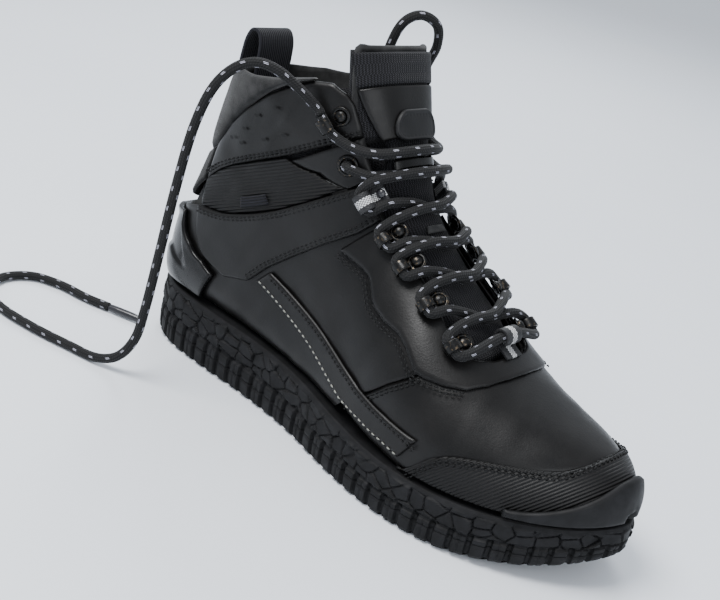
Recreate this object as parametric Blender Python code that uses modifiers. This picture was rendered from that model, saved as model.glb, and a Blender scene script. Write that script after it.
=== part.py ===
"""A right hiking boot: sole unit, layered leather upper, padded tongue, lacing hardware and lace.

The upper's outer skin is one lofted surface. Its sections run from the front line (over the toe, up the
instep and the tongue) to the bottom line (under the foot and up the back of the heel). A place on it is
(u, q): u counts the key sections from the toe to the collar, and q is the share of the way round a section,
0 on the front line, -1 on the bottom line by the lateral side and +1 by the medial side.
Every panel is a patch of that skin, offset along its normal to its own layer and thickened.
"""
import math

import bmesh
import bpy
import numpy as np
from mathutils import Matrix, Vector
from mathutils.bvhtree import BVHTree

MM = 0.001
# Heel and centre line of the drawing below, measured from the origin of the part, in millimetres.
ORIGIN_X = 149.0
ORIGIN_Y = -1.0

# Plan outline of the sole: x forward from the heel, y towards the medial side.
SOLE_OUTLINE = [
    (0, 2), (4, -14), (14, -26), (32, -34), (60, -36.5), (95, -37), (130, -41), (165, -50), (195, -55),
    (225, -54), (252, -46), (276, -32), (293, -15), (301, 4), (297, 20), (284, 34.5), (264, 46),
    (240, 52.5), (215, 53), (185, 46), (150, 37), (115, 33.5), (80, 35), (50, 36), (25, 31), (8, 18),
]
SOLE_MIDDLE_X = 150.5
LAST_GROW = (0.965, 0.925)  # the upper's widest contour, as a share of the sole's outline

# Key sections of the upper: front point x, z; bottom point x, z; centre y; half widths lateral and medial;
# where the widest point lies; and the superellipse exponents in front of it and behind it.
TOE_SECTIONS = [  # upright sections, which take their widths from the plan outline
    (295.6, 41, 34, 0.50, 2.0, 2.0), (293.5, 48.5, 30, 0.55, 2.0, 2.2), (289, 54, 27, 0.60, 2.1, 2.6),
    (281, 59, 25, 0.66, 2.2, 3.0), (268, 63.5, 22, 0.70, 2.2, 3.4), (250, 68.5, 20, 0.72, 2.1, 3.6),
    (230, 75, 19, 0.73, 2.1, 3.8), (211, 84, 19.5, 0.74, 2.2, 4.0),
]
BODY_SECTIONS = [
    (196, 94, 186, 21.5, 0, 50.0, 45.5, 0.76, 2.35, 4.0), (180, 106, 155, 25, 0, 44.5, 39.5, 0.78, 2.45, 4.0),
    (165, 118, 120, 28, 0, 37.8, 35.0, 0.78, 2.60, 4.0), (152, 130, 80, 29, 0, 34.5, 33.0, 0.74, 2.70, 4.0),
    (145, 141, 42, 29, 0, 34.5, 33.5, 0.68, 2.80, 3.8), (140, 149, 14, 31, 0, 35.0, 34.5, 0.62, 2.90, 3.4),
    (136, 156, 7, 46, 0, 36.0, 35.5, 0.60, 3.00, 3.0), (132, 164, 9, 72, 0, 37.0, 36.5, 0.58, 3.00, 2.8),
    (127, 174, 15, 100, 0, 38.0, 37.5, 0.55, 3.00, 2.5), (122, 184, 21, 128, 0, 38.5, 38.0, 0.53, 3.00, 2.3),
    (116, 197, 23, 160, 0, 39.5, 39.0, 0.52, 3.00, 2.2),
]
TABLE_U, TABLE_Q, DENSE = 270, 240, 80

# Layers of the upper, from the fitted skin, in millimetres: where each one's outer face lies, and its thickness.
OVERLAY = (2.1, 1.3)
MAIN = (0.0, 1.8)
STIFFENER = (-2.5, 0.9)
LINING = (-4.7, 2.0)

LACE_R = 2.5

MATERIALS = {  # colour, roughness, metallic
    "rubber": ((0.020, 0.020, 0.022), 0.75, 0), "foam": ((0.026, 0.027, 0.030), 0.85, 0),
    "tpu": ((0.016, 0.017, 0.019), 0.28, 0), "leather": ((0.030, 0.028, 0.027), 0.42, 0),
    "ribbed": ((0.020, 0.019, 0.019), 0.60, 0), "textile": ((0.034, 0.034, 0.038), 0.90, 0),
    "suede": ((0.060, 0.058, 0.058), 0.95, 0), "lace": ((0.022, 0.022, 0.024), 0.80, 0),
    "metal": ((0.030, 0.030, 0.030), 0.30, 1), "webbing": ((0.018, 0.018, 0.020), 0.85, 0),
    "board": ((0.35, 0.30, 0.22), 0.90, 0), "steel": ((0.45, 0.45, 0.47), 0.35, 1),
}


# ---------------------------------------------------------------- scene helpers
def start_scene():
    for obj in list(bpy.data.objects):
        bpy.data.objects.remove(obj)
    collections = {}
    for name in ("hiking_boot", "cutters"):
        collections[name] = bpy.data.collections.new(name)
        bpy.context.scene.collection.children.link(collections[name])
    return collections


COLLECTIONS = start_scene()


def material(name):
    found = bpy.data.materials.get(name)
    if found:
        return found
    colour, roughness, metallic = MATERIALS[name]
    made = bpy.data.materials.new(name)
    made.use_nodes = True
    shader = made.node_tree.nodes["Principled BSDF"]
    shader.inputs["Base Color"].default_value = (*colour, 1)
    shader.inputs["Roughness"].default_value = roughness
    shader.inputs["Metallic"].default_value = metallic
    return made


def add(name, data, look, collection="hiking_boot"):
    obj = bpy.data.objects.new(name, data)
    COLLECTIONS[collection].objects.link(obj)
    if look:
        data.materials.append(material(look))
    return obj


def to_part(points):
    """Drawing millimetres to the part's frame in metres."""
    points = np.asarray(points, float)
    return (points - np.array([ORIGIN_X, ORIGIN_Y, 0.0])) * MM


def surface(name, grid, look, close_rows=False):
    """An open mesh from a grid of drawing points, rows by columns."""
    rows, columns = grid.shape[:2]
    wrap = rows if close_rows else rows - 1
    faces = [
        (i * columns + j, i * columns + j + 1, (i + 1) % rows * columns + j + 1, (i + 1) % rows * columns + j)
        for i in range(wrap)
        for j in range(columns - 1)
    ]
    mesh = bpy.data.meshes.new(name)
    mesh.from_pydata(to_part(grid.reshape(-1, 3)).tolist(), [], faces)
    mesh.shade_smooth()
    return add(name, mesh, look)


def thicken(obj, thickness, offset=-1.0):
    solid = obj.modifiers.new("thickness", "SOLIDIFY")
    solid.thickness = thickness * MM
    solid.offset = offset
    solid.use_even_offset = True
    return obj


def turn_out(obj):
    """Recalculates a closed mesh's faces to point outwards."""
    cage = bmesh.new()
    cage.from_mesh(obj.data)
    bmesh.ops.remove_doubles(cage, verts=cage.verts, dist=1e-7)
    bmesh.ops.recalc_face_normals(cage, faces=cage.faces)
    cage.to_mesh(obj.data)
    cage.free()
    return obj


def cut(obj, cutter, operation="DIFFERENCE"):
    cutter.hide_render = True
    cutter.display_type = "WIRE"
    modifier = obj.modifiers.new(operation.lower(), "BOOLEAN")
    modifier.operation = operation
    modifier.object = cutter
    return obj


# ---------------------------------------------------------------- curves and outlines
def smooth(points, steps, closed=False):
    """A Catmull-Rom curve through the points."""
    p = np.array(points, float)
    count = len(p)
    ends = range(count if closed else count - 1)
    found = []
    for i in ends:
        if closed:
            a, b, c, d = p[i - 1], p[i], p[(i + 1) % count], p[(i + 2) % count]
        else:
            b, c = p[i], p[i + 1]
            a = p[i - 1] if i else 2 * b - c
            d = p[i + 2] if i + 2 < count else 2 * c - b
        for t in np.arange(steps) / steps:
            found.append(
                0.5 * (2 * b + (c - a) * t + (2 * a - 5 * b + 4 * c - d) * t**2 + (3 * b - a - 3 * c + d) * t**3)
            )
    if not closed:
        found.append(p[-1])
    return np.array(found)


def resample(points, count, closed=False):
    p = np.vstack([points, points[:1]]) if closed else points
    s = np.concatenate([[0], np.cumsum(np.linalg.norm(np.diff(p, axis=0), axis=1))])
    at = np.linspace(0, s[-1], count + 1)[:-1] if closed else np.linspace(0, s[-1], count)
    return np.stack([np.interp(at, s, p[:, k]) for k in range(p.shape[1])], 1)


OUTLINE = smooth(SOLE_OUTLINE, 12, closed=True)


def height(x, table):
    """A smooth height profile given at a few x."""
    xs, zs = zip(*table)
    fine = smooth(list(zip(xs, zs)), 10)
    return np.interp(x, fine[:, 0], fine[:, 1])


def plan_edges(x, grow=LAST_GROW):
    """The two y where the scaled sole outline crosses x."""
    outline = OUTLINE.copy()
    outline[:, 0] = SOLE_MIDDLE_X + (outline[:, 0] - SOLE_MIDDLE_X) * grow[0]
    outline[:, 1] *= grow[1]
    after = np.roll(outline, -1, axis=0)
    crossing = (outline[:, 0] - x) * (after[:, 0] - x) <= 0
    a, b = outline[crossing], after[crossing]
    if not len(a):
        return 0.0, 0.0
    share = (x - a[:, 0]) / np.where(b[:, 0] == a[:, 0], 1, b[:, 0] - a[:, 0])
    y = a[:, 1] + share * (b[:, 1] - a[:, 1])
    return y.min(), y.max()


# ---------------------------------------------------------------- the upper's skin
def key_table():
    keys = []
    for x, top, bottom, widest, front, back in TOE_SECTIONS:
        low, high = plan_edges(x)
        half = (high - low) / 2
        keys.append((x, top, x, bottom, (low + high) / 2, half, half, widest, front, back))
    return np.array(keys + BODY_SECTIONS, float)


def skin_table():
    """Points of the skin: TABLE_U + 1 sections by TABLE_Q + 1 places from q = -1 to q = 1."""
    keys = smooth(key_table(), 40)
    last = len(key_table()) - 1
    at = np.linspace(0, last, len(keys))
    angle = np.linspace(0, math.pi / 2, DENSE)
    rows = []
    for u in np.linspace(0, last, TABLE_U + 1):
        fx, fz, bx, bz, middle, lateral, medial, widest, front, back = [
            np.interp(u, at, keys[:, k]) for k in range(10)
        ]
        t = np.concatenate([
            widest * (1 - np.cos(angle) ** (2 / front)), widest + (1 - widest) * np.sin(angle[1:]) ** (2 / back)
        ])
        w = np.concatenate([np.sin(angle) ** (2 / front), np.cos(angle[1:]) ** (2 / back)])
        row = []
        for side, half in ((-1, lateral), (1, medial)):
            loop = np.stack([fx + (bx - fx) * t, middle + side * half * w, fz + (bz - fz) * t], 1)
            row.append(resample(loop, TABLE_Q // 2 + 1))
        rows.append(np.vstack([row[0][::-1], row[1][1:]]))
    return np.array(rows)


SKIN = skin_table()
LAST_U = len(TOE_SECTIONS) + len(BODY_SECTIONS) - 1


def skin_normals():
    along = np.gradient(SKIN, axis=0)
    ring = np.concatenate([SKIN[:, -2:-1], SKIN, SKIN[:, 1:2]], axis=1)
    round_ = ring[:, 2:] - ring[:, :-2]
    normal = np.cross(round_, along)
    return normal / np.maximum(np.linalg.norm(normal, axis=2, keepdims=True), 1e-9)


NORMALS = skin_normals()


def lookup(table, u, q):
    q = (np.asarray(q, float) + 1) % 2 * TABLE_Q / 2
    u = np.clip(np.asarray(u, float), 0, LAST_U) / LAST_U * TABLE_U
    i, j = np.minimum(u.astype(int), TABLE_U - 1), np.minimum(q.astype(int), TABLE_Q - 1)
    a, b = (u - i)[..., None], (q - j)[..., None]
    low = table[i, j] * (1 - b) + table[i, j + 1] * b
    high = table[i + 1, j] * (1 - b) + table[i + 1, j + 1] * b
    return low * (1 - a) + high * a


def skin(u, q, out=0.0):
    """Drawing points on the skin at (u, q), moved out along the normal."""
    u, q = np.broadcast_arrays(np.asarray(u, float), np.asarray(q, float))
    normal = lookup(NORMALS, u, q)
    normal = normal / np.linalg.norm(normal, axis=-1, keepdims=True)
    return lookup(SKIN, u, q) + normal * np.asarray(out, float)[..., None]


# ---------------------------------------------------------------- heights along the sole
TREAD = [(0, 5.5), (12, 1.5), (25, 0), (60, 0), (150, 0), (225, 0), (243, 0.8), (262, 3.6), (280, 8.0), (301, 15.5)]
MIDSOLE_LOW = [(0, 13), (25, 11), (60, 10), (150, 9), (225, 9), (262, 11.5), (285, 16), (301, 21)]
MIDSOLE_TOP = [(0, 33.5), (60, 33), (110, 32), (150, 29), (185, 26.5), (215, 25.5), (245, 26), (270, 28), (301, 33)]
FEATHER_LIFT = 0.5  # gap between the midsole and the upper's lower edge


def feather(u, side):
    """The |q| at which the skin comes down to the midsole's top, at section u."""
    q = np.linspace(0.35, 1.0, 131)
    points = skin(np.full_like(q, u), side * q)
    above = points[:, 2] - height(points[:, 0], MIDSOLE_TOP) - FEATHER_LIFT
    below = np.nonzero(above < 0)[0]
    if not len(below):
        return 1.0
    k = below[0]
    share = above[k - 1] / (above[k - 1] - above[k]) if k else 0
    return float(q[max(k - 1, 0)] + share * (q[1] - q[0]))


FEATHER_US = np.linspace(0.2, 14.2, 141)
FEATHER = {side: np.array([feather(u, side) for u in FEATHER_US]) for side in (-1, 1)}


def feather_q(u, side):
    return np.interp(u, FEATHER_US, FEATHER[side])


def feather_run(start, end, side):
    """(u, |q|) points of the feather line from section start to section end."""
    us = np.linspace(start, end, 24)
    return [(u, min(float(feather_q(u, side)), 1.0)) for u in us]


HEEL_U = float(FEATHER_US[(FEATHER_US > 8) & (FEATHER[-1] > 0.999)][0])  # where it reaches the back line
TIP_U = float(FEATHER_US[(FEATHER_US < 4) & (FEATHER[-1] < 0.999)][0])  # and where it rounds the toe

# ---------------------------------------------------------------- seams, as (u, |q|)
FRONT_SEAM = [(8.55, 0.558), (8.15, 0.448), (7.72, 0.360), (7.45, 0.270), (7.20, 0.190)]  # vamp to quarter
THROAT = [(7.20, 0.182), (7.78, 0.178), (8.90, 0.160), (9.61, 0.160), (10.91, 0.157), (12.55, 0.145)]
THROAT_FRONT = [(7.20, 0.182), (6.85, 0.150), (6.62, 0.090), (6.55, 0.0)]
STAY_EDGE = [
    (11.05, 0.323), (10.74, 0.315), (10.34, 0.302), (10.09, 0.300), (9.81, 0.322), (9.54, 0.343), (9.10, 0.339),
    (8.64, 0.322), (8.29, 0.327), (7.99, 0.340), (7.73, 0.351), (7.47, 0.339), (6.92, 0.302), (6.49, 0.258),
    (6.22, 0.183), (6.08, 0.092), (6.04, 0.0),
]
ANKLE_TOP = [
    (12.55, 0.153), (12.76, 0.228), (12.99, 0.320), (13.24, 0.407), (13.54, 0.479), (14.07, 0.593), (14.53, 0.684),
    (14.71, 0.721),
]
ANKLE_LOW = [(11.10, 0.165), (11.14, 0.247), (11.38, 0.340), (11.59, 0.453), (11.72, 0.558), (11.75, 0.679)]
CLIP_TOP = [(12.30, 0.712), (12.81, 0.700), (13.57, 0.722), (14.70, 0.784), (15.00, 0.880), (15.05, 1.0)]
INSERT_TOP = [(14.98, 0.385), (15.11, 0.400), (15.33, 0.510), (15.46, 0.608), (15.48, 0.668), (15.40, 0.731)]
INSERT_FRONT = [(14.98, 0.385), (14.04, 0.284), (12.81, 0.213)]
COLLAR_LOW = [(14.87, 0.160), (14.90, 0.201), (15.03, 0.300), (15.11, 0.382), (15.33, 0.510), (15.46, 0.608),
              (15.48, 0.668), (15.40, 0.731)]
COLLAR_TOP = [(16.20, 0.198), (16.66, 0.227), (17.13, 0.282), (17.29, 0.354), (17.29, 0.432), (17.19, 0.527),
              (16.96, 0.628), (16.72, 0.687), (16.24, 0.731)]
RIM_FRONT = [(12.66, 0.145), (12.80, 0.131), (14.29, 0.146), (14.87, 0.156)]
RIM = [(17.36, 0.354), (17.44, 0.432), (17.52, 0.527), (17.66, 0.640), (17.80, 0.727), (17.92, 0.860), (17.95, 1.0)]
GUARD_TOP = [
    (7.15, 0.655), (6.79, 0.598), (6.42, 0.523), (6.06, 0.477), (5.78, 0.454), (5.19, 0.415), (4.65, 0.383),
    (4.17, 0.354), (3.72, 0.317), (3.28, 0.209), (3.13, 0.029),
]


def sides(curve, side):
    return np.array([(u, side * q) for u, q in curve])


def both_sides(curve):
    """A curve given from the lateral end to the centre line, carried on to the medial side."""
    lateral = sides(curve, -1)
    return np.vstack([lateral, (lateral * (1, -1))[-2 if abs(curve[-1][1]) < 1e-6 else -1 :: -1]])


def length_share(points):
    """The curve's arc length on the skin, as running shares."""
    dense = np.vstack([
        np.linspace(a, b, 12, endpoint=False) for a, b in zip(points[:-1], points[1:])
    ] + [points[-1:]])
    s = np.concatenate([[0], np.cumsum(np.linalg.norm(np.diff(skin(dense[:, 0], dense[:, 1]), axis=0), axis=1))])
    return dense, s


def spaced(points, count):
    """count + 1 points evenly spaced along the curve on the skin."""
    dense, s = length_share(np.asarray(points, float))
    at = np.linspace(0, s[-1], count + 1)
    return np.stack([np.interp(at, s, dense[:, k]) for k in (0, 1)], 1)


def boundary(*segments):
    """Joins (points, count) segments that meet end to end."""
    joined = [spaced(points, count) for points, count in segments]
    return np.vstack([joined[0]] + [part[1:] for part in joined[1:]])


def coons(top, low, left, right):
    """A grid of (u, q) between four boundary curves; rows run from left to right, columns from top to low."""
    rows, columns = len(top), len(left)
    a = np.linspace(0, 1, rows)[:, None, None]
    b = np.linspace(0, 1, columns)[None, :, None]
    across = (1 - b) * top[:, None] + b * low[:, None]
    along = (1 - a) * left[None] + a * right[None]
    corners = (
        (1 - a) * (1 - b) * top[0] + a * (1 - b) * top[-1] + (1 - a) * b * low[0] + a * b * low[-1]
    )
    return across + along - corners


def shrink(grid, gap):
    """Pulls the outermost rows and columns of a (u, q) grid in by gap millimetres."""
    grid = grid.copy()
    for axis in (0, 1):
        g = np.moveaxis(grid, axis, 0)
        for edge, inner in ((0, 1), (-1, -2)):
            space = np.linalg.norm(skin(*np.moveaxis(g[edge], -1, 0)) - skin(*np.moveaxis(g[inner], -1, 0)), axis=-1)
            share = np.minimum(gap / np.maximum(space, 1e-6), 0.45)[..., None]
            g[edge] += (g[inner] - g[edge]) * share
    return grid


def panel(name, top, low, left, right, layer, look, gap=0.45):
    """A closed panel between four (u, q) boundaries, set in by gap and thickened inwards from its layer."""
    grid = shrink(coons(top, low, left, right), gap)
    outer, thickness = layer[:2]
    points = skin(grid[..., 0], grid[..., 1], np.full(grid.shape[:2], outer))
    return thick_sheet(name, points, thickness, look)


def thick_sheet(name, points, thickness, look):
    """A sheet whose faces look away from the foot, thickened inwards."""
    obj = surface(name, points, look)
    middle = points[points.shape[0] // 2, points.shape[1] // 2]
    i, j = points.shape[0] // 2, points.shape[1] // 2
    side = np.cross(points[i, j + 1] - points[i, j], points[i + 1, j] - points[i, j])
    inside = np.array([150.0, 0, 60.0]) if middle[0] > 90 else np.array([75.0, 0, 100.0])
    if np.dot(side, middle - inside) < 0:
        obj.data.flip_normals()
    return thicken(obj, thickness)


def ruled(name, top, low, steps, layer, look, gap=0.45):
    """A panel between two curves of the same number of points."""
    left = np.linspace(top[0], low[0], steps + 1)
    right = np.linspace(top[-1], low[-1], steps + 1)
    return panel(name, top, low, left, right, layer, look, gap)


# ---------------------------------------------------------------- toe panels, found by rays from inside the toe
TOE_CENTRE = np.array([222.0, 0.0, 30.0])


def offset_skin_tree(out):
    points = (SKIN + NORMALS * out)[:, :-1]
    if out > 0:  # rounds off the narrow first section at the tip
        turns = np.radians([90, 60, 30])[:, None, None]
        nose = SKIN[:1, :-1] + NORMALS[:1, :-1] * out * np.cos(turns) + np.array([1.0, 0, 0]) * out * np.sin(turns)
        points = np.concatenate([nose, points])
    rows, columns = points.shape[:2]
    quads = [
        (i * columns + j, i * columns + (j + 1) % columns, (i + 1) * columns + (j + 1) % columns, (i + 1) * columns + j)
        for i in range(rows // 2)
        for j in range(columns)
    ]
    return BVHTree.FromPolygons([Vector(p) for p in points.reshape(-1, 3)], quads)


def toe_loop(start, lift=0.0):
    """The feather line from section start, round the toe, back to section start on the medial side."""
    us = np.linspace(start, TIP_U, 60)
    lateral = np.array([skin(u, -min(feather_q(u, -1), 0.999)) for u in us])
    medial = np.array([skin(u, min(feather_q(u, 1), 0.999)) for u in us])
    loop = np.vstack([lateral, medial[::-1]])
    loop[:, 2] = height(loop[:, 0], MIDSOLE_TOP) + FEATHER_LIFT + lift
    return loop


def toe_panel(name, top, low, steps, layer, look):
    """A panel over the toe between two curves of drawing points, low on the feather line."""
    tree = offset_skin_tree(layer[0])
    top, low = resample(top, steps[0] + 1), resample(low, steps[0] + 1)
    grid = np.zeros((steps[0] + 1, steps[1] + 1, 3))
    for i in range(steps[0] + 1):
        for j in range(steps[1] + 1):
            share = j / steps[1]
            aim = (1 - share) * (top[i] - TOE_CENTRE) + share * (low[i] - TOE_CENTRE)
            hit = tree.ray_cast(Vector(TOE_CENTRE), Vector(aim).normalized())[0]
            grid[i, j] = hit if hit else aim + TOE_CENTRE
    return thick_sheet(name, grid, layer[1], look)


# ---------------------------------------------------------------- sole unit
def stations(start, end, count):
    t = (1 - np.cos(np.linspace(0, math.pi, count))) / 2
    return start + (end - start) * t


def sole_loft(name, section, xs, look):
    """A closed solid from rings of points across the sole, with flat ends."""
    rings = np.array([section(x) for x in xs])
    count = rings.shape[1]
    faces = [
        (i * count + j, i * count + (j + 1) % count, (i + 1) * count + (j + 1) % count, (i + 1) * count + j)
        for i in range(len(xs) - 1)
        for j in range(count)
    ]
    faces += [tuple(range(count)), tuple(range((len(xs) - 1) * count, len(xs) * count))]
    mesh = bpy.data.meshes.new(name)
    mesh.from_pydata(to_part(rings.reshape(-1, 3)).tolist(), [], faces)
    return turn_out(add(name, mesh, look))


def sole_section(profile):
    """A section function: profile(x) gives (grow, z) levels from the bottom up."""
    def section(x):
        levels = profile(x)
        ring = []
        for side in (0, 1):
            run = []
            for grow, z in levels if side == 0 else levels[::-1]:
                y = plan_edges(np.clip(x, 1.2, 299.8), (1.0, grow))[side]
                run.append((x, y, z))
            ring += run
        low, high = ring[-1][1], ring[0][1]
        across = [(x, low + (high - low) * t, levels[0][1]) for t in (0.25, 0.5, 0.75)]
        top_low, top_high = ring[len(levels) - 1][1], ring[len(levels)][1]
        over = [(x, top_low + (top_high - top_low) * t, levels[-1][1]) for t in (0.25, 0.5, 0.75)]
        return np.array(ring[: len(levels)] + over + ring[len(levels):] + across)
    return section


def box(name, low, high, look=None, collection="hiking_boot"):
    low, high = to_part(low), to_part(high)
    x, y, z = zip(low, high)
    corners = [(a, b, c) for a in x for b in y for c in z]
    faces = [(0, 1, 3, 2), (4, 6, 7, 5), (0, 4, 5, 1), (2, 3, 7, 6), (0, 2, 6, 4), (1, 5, 7, 3)]
    mesh = bpy.data.meshes.new(name)
    mesh.from_pydata(corners, [], faces)
    return add(name, mesh, look, collection)


def many_boxes(name, boxes, collection="cutters"):
    cage = bmesh.new()
    for low, high in boxes:
        low, high = to_part(low), to_part(high)
        made = bmesh.ops.create_cube(cage, size=1.0)["verts"]
        size, centre = high - low, (low + high) / 2
        for vert in made:
            vert.co = Vector([vert.co[k] * size[k] + centre[k] for k in range(3)])
    mesh = bpy.data.meshes.new(name)
    cage.to_mesh(mesh)
    cage.free()
    return add(name, mesh, None, collection)


def make_sole():
    tread = lambda x: height(x, TREAD)
    low = lambda x: height(x, MIDSOLE_LOW)
    top = lambda x: height(x, MIDSOLE_TOP)
    outsole = sole_loft(
        "outsole",
        sole_section(lambda x: [(0.95, tread(x)), (0.99, tread(x) + 2.5), (1.0, (tread(x) + low(x)) / 2 + 1),
                                (0.985, low(x) - 0.3)]),
        stations(0.0, 301.0, 46), "rubber")
    channels = [((x, -70, -5), (x + 4.5, 70, 3.2)) for x in (18, 36, 54, 72, 90)]
    channels += [((x, -70, -5), (x + 4.5, 70, 3.2)) for x in (136, 155, 174, 193, 212, 231)]
    channels += [((106, -70, -5), (126, 70, 2.6))]
    cut(outsole, many_boxes("tread_channels", channels))
    sole_loft(
        "midsole",
        sole_section(lambda x: [(0.975, low(x)), (1.0, low(x) * 0.6 + top(x) * 0.4), (0.995, top(x) - 3),
                                (0.965, top(x))]),
        stations(0.6, 300.4, 46), "foam")
    pocket = box("shank_pocket", (62, -9, 27.5), (140, 9, 60), None, "cutters")
    cut(bpy.data.objects["midsole"], pocket)
    box("shank", (62.5, -8.5, 27.8), (139.5, 8.5, 28.8), "steel")


def inner_slab(name, low_lift, high_lift, inset_mm, start, end, count, look):
    """A slab that follows the inside of the lasting line: the skin at the feather, drawn in by inset_mm."""
    us = np.concatenate([np.linspace(TIP_U + 0.02, 2, 30), np.linspace(2, HEEL_U, 120)])
    edge = {
        side: np.array([skin(u, side * min(feather_q(u, side), 0.999), -inset_mm) for u in us]) for side in (-1, 1)
    }
    rings = []
    for x in stations(start, end, count):
        ys = [np.interp(-x, -edge[side][:, 0], edge[side][:, 1]) for side in (-1, 1)]
        z = height(x, MIDSOLE_TOP)
        rings.append([(x, ys[0] + (ys[1] - ys[0]) * t, z + low_lift) for t in (0, 0.33, 0.67, 1)]
                     + [(x, ys[0] + (ys[1] - ys[0]) * t, z + high_lift) for t in (1, 0.67, 0.33, 0)])
    rings = np.array(rings)
    faces = [
        (i * 8 + j, i * 8 + (j + 1) % 8, (i + 1) * 8 + (j + 1) % 8, (i + 1) * 8 + j)
        for i in range(len(rings) - 1)
        for j in range(8)
    ] + [tuple(range(8)), tuple(range((len(rings) - 1) * 8, len(rings) * 8))]
    mesh = bpy.data.meshes.new(name)
    mesh.from_pydata(to_part(rings.reshape(-1, 3)).tolist(), [], faces)
    return turn_out(add(name, mesh, look))


make_sole()
inner_slab("insole_board", 0.4, 2.2, 13.6, 16.5, 281.0, 30, "board")
inner_slab("footbed", 2.6, 6.6, 14.4, 17.5, 279.5, 30, "textile")

# ---------------------------------------------------------------- toe: puff, guard, bumper, vamp lining
guard_top = skin(*both_sides(GUARD_TOP).T)
toe_panel("toe_guard", guard_top, toe_loop(7.12, 1.9), (34, 5), OVERLAY, "ribbed")
puff_top = skin(*both_sides([(6.4, 0.62), (5.6, 0.46), (4.6, 0.40), (4.0, 0.35), (3.6, 0.2), (3.5, 0.0)]).T)
toe_panel("toe_puff", puff_top, toe_loop(6.35, 0.5), (24, 4), STIFFENER, "board")
lining_top = skin(*both_sides([(8.6, 0.66), (8.2, 0.5), (7.7, 0.36), (7.2, 0.25), (6.6, 0.22), (6.3, 0.12),
                               (6.2, 0.0)]).T)
toe_panel("lining_vamp", lining_top, toe_loop(8.55, 0.5), (28, 6), LINING, "textile")


def make_bumper():
    low = toe_loop(4.6, 1.8)
    count = len(low)
    rise = 17.0 * np.sin(np.pi * np.linspace(0.0, 1.0, count)) ** 1.6 + 3.5
    top = low.copy()
    top[:, 2] += rise
    toe_panel("toe_bumper", top, low, (32, 2), (5.4, 2.2), "rubber")


make_bumper()

# ---------------------------------------------------------------- vamp, throat and quarters
vamp_top = np.vstack([
    spaced(sides([(8.83, 0.66)] + FRONT_SEAM, -1), 7), spaced(sides(THROAT_FRONT, -1), 3)[1:],
])
vamp_top = np.vstack([vamp_top, (vamp_top * (1, -1))[-2::-1]])
vamp_low = spaced(both_sides([(7.15, 0.652), (6.5, 0.58), (5.9, 0.50), (5.3, 0.455), (4.7, 0.42), (4.2, 0.385),
                              (3.55, 0.31), (3.0, 0.20), (2.85, 0.0)]), len(vamp_top) - 1)
ruled("vamp", vamp_top, vamp_low, 6, MAIN, "leather")

stay_in = spaced(both_sides([(10.98, 0.163)] + [p for p in THROAT[::-1] if p[0] < 10.9][:-1] + THROAT_FRONT), 32)
stay_out = spaced(both_sides(STAY_EDGE), 32)
ruled("eyestay", stay_in, stay_out, 3, OVERLAY, "leather")

for side, word in ((-1, "lateral"), (1, "medial")):
    s = lambda curve: sides(curve, side)
    top = boundary((s(THROAT), 9), (s(ANKLE_TOP + [(15.05, 0.86), (15.1, 0.997)]), 14))
    low = spaced(s([(8.88, 0.66)] + feather_run(8.98, HEEL_U, side)[:-1] + [(HEEL_U, 0.997)]), 23)
    left = spaced(s(FRONT_SEAM[::-1] + [(8.88, 0.66)]), 7)
    left[-1], left[0] = low[0], top[0]
    panel("quarter_" + word, top, low, left, np.linspace(top[-1], low[-1], 8), MAIN, "leather")

    top = spaced(s(ANKLE_TOP), 16)
    low = spaced(s(ANKLE_LOW[:-1] + [(11.72, 0.640), (12.10, 0.690), (12.60, 0.688), (13.40, 0.690), (13.9, 0.7)]), 16)
    ruled("ankle_band_" + word, top, low, 4, OVERLAY, "leather")

    top = spaced(s([(6.85, 0.500), (7.26, 0.511), (7.91, 0.525), (8.62, 0.546), (9.68, 0.554), (11.60, 0.553)]), 14)
    low = spaced(s([(7.18, 0.600), (7.66, 0.604), (8.26, 0.622), (8.85, 0.648), (9.72, 0.640), (11.62, 0.616)]), 14)
    ruled("side_strip_" + word, top, low, 2, OVERLAY, "leather", 0.6)

    top = spaced(s(INSERT_TOP), 11)
    low = spaced(s([(12.81, 0.213)] + ANKLE_TOP[2:]), 11)
    left = spaced(s(INSERT_FRONT), 5)
    panel("ribbed_insert_" + word, top, low, left, spaced(s([(15.40, 0.731), (14.71, 0.721)]), 5), MAIN, "ribbed")

    front = spaced(s(RIM_FRONT), 6)
    seam = spaced(s([(12.68, 0.205), (14.04, 0.276), (14.92, 0.380)]), 6)
    top = np.linspace(front[-1], seam[-1], 4)
    panel("eyelet_panel_" + word, front[::-1], seam[::-1], top, np.linspace(front[0], seam[0], 4), MAIN, "leather")

    low = spaced(s(COLLAR_LOW), 16)
    top = spaced(s(COLLAR_TOP), 16)
    front = spaced(s([(16.20, 0.198), (15.29, 0.166), (14.87, 0.160)]), 4)
    panel("collar_panel_" + word, top, low, front, spaced(s([(16.24, 0.731), (15.40, 0.731)]), 4), MAIN, "leather")

    top = boundary((s([(8.85, 0.262), (12.4, 0.262)]), 6), (s([(12.4, 0.262), (16.5, 0.262)]), 5),
                   (s([(16.5, 0.262), (17.1, 0.354), (17.3, 0.60), (17.5, 0.80), (17.5, 0.994)]), 10))
    low = spaced(s([(8.85, 0.655)] + feather_run(8.95, HEEL_U - 0.25, side)[:-1] + [(HEEL_U + 0.3, 0.994)]), 21)
    left = spaced(s([(8.85, 0.262), (8.85, 0.655)]), 7)
    left[-1] = low[0]
    panel("lining_" + word, top, low, left, np.linspace(top[-1], low[-1], 8), LINING, "textile")


def round_back(lateral):
    """A curve from the lateral side to the back line, carried on round to the medial side; q runs on past -1."""
    near = sides(lateral, -1)
    far = near.copy()[::-1]
    far[:, 1] = -2 - far[:, 1]
    return np.vstack([near, far[1:]])


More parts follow.
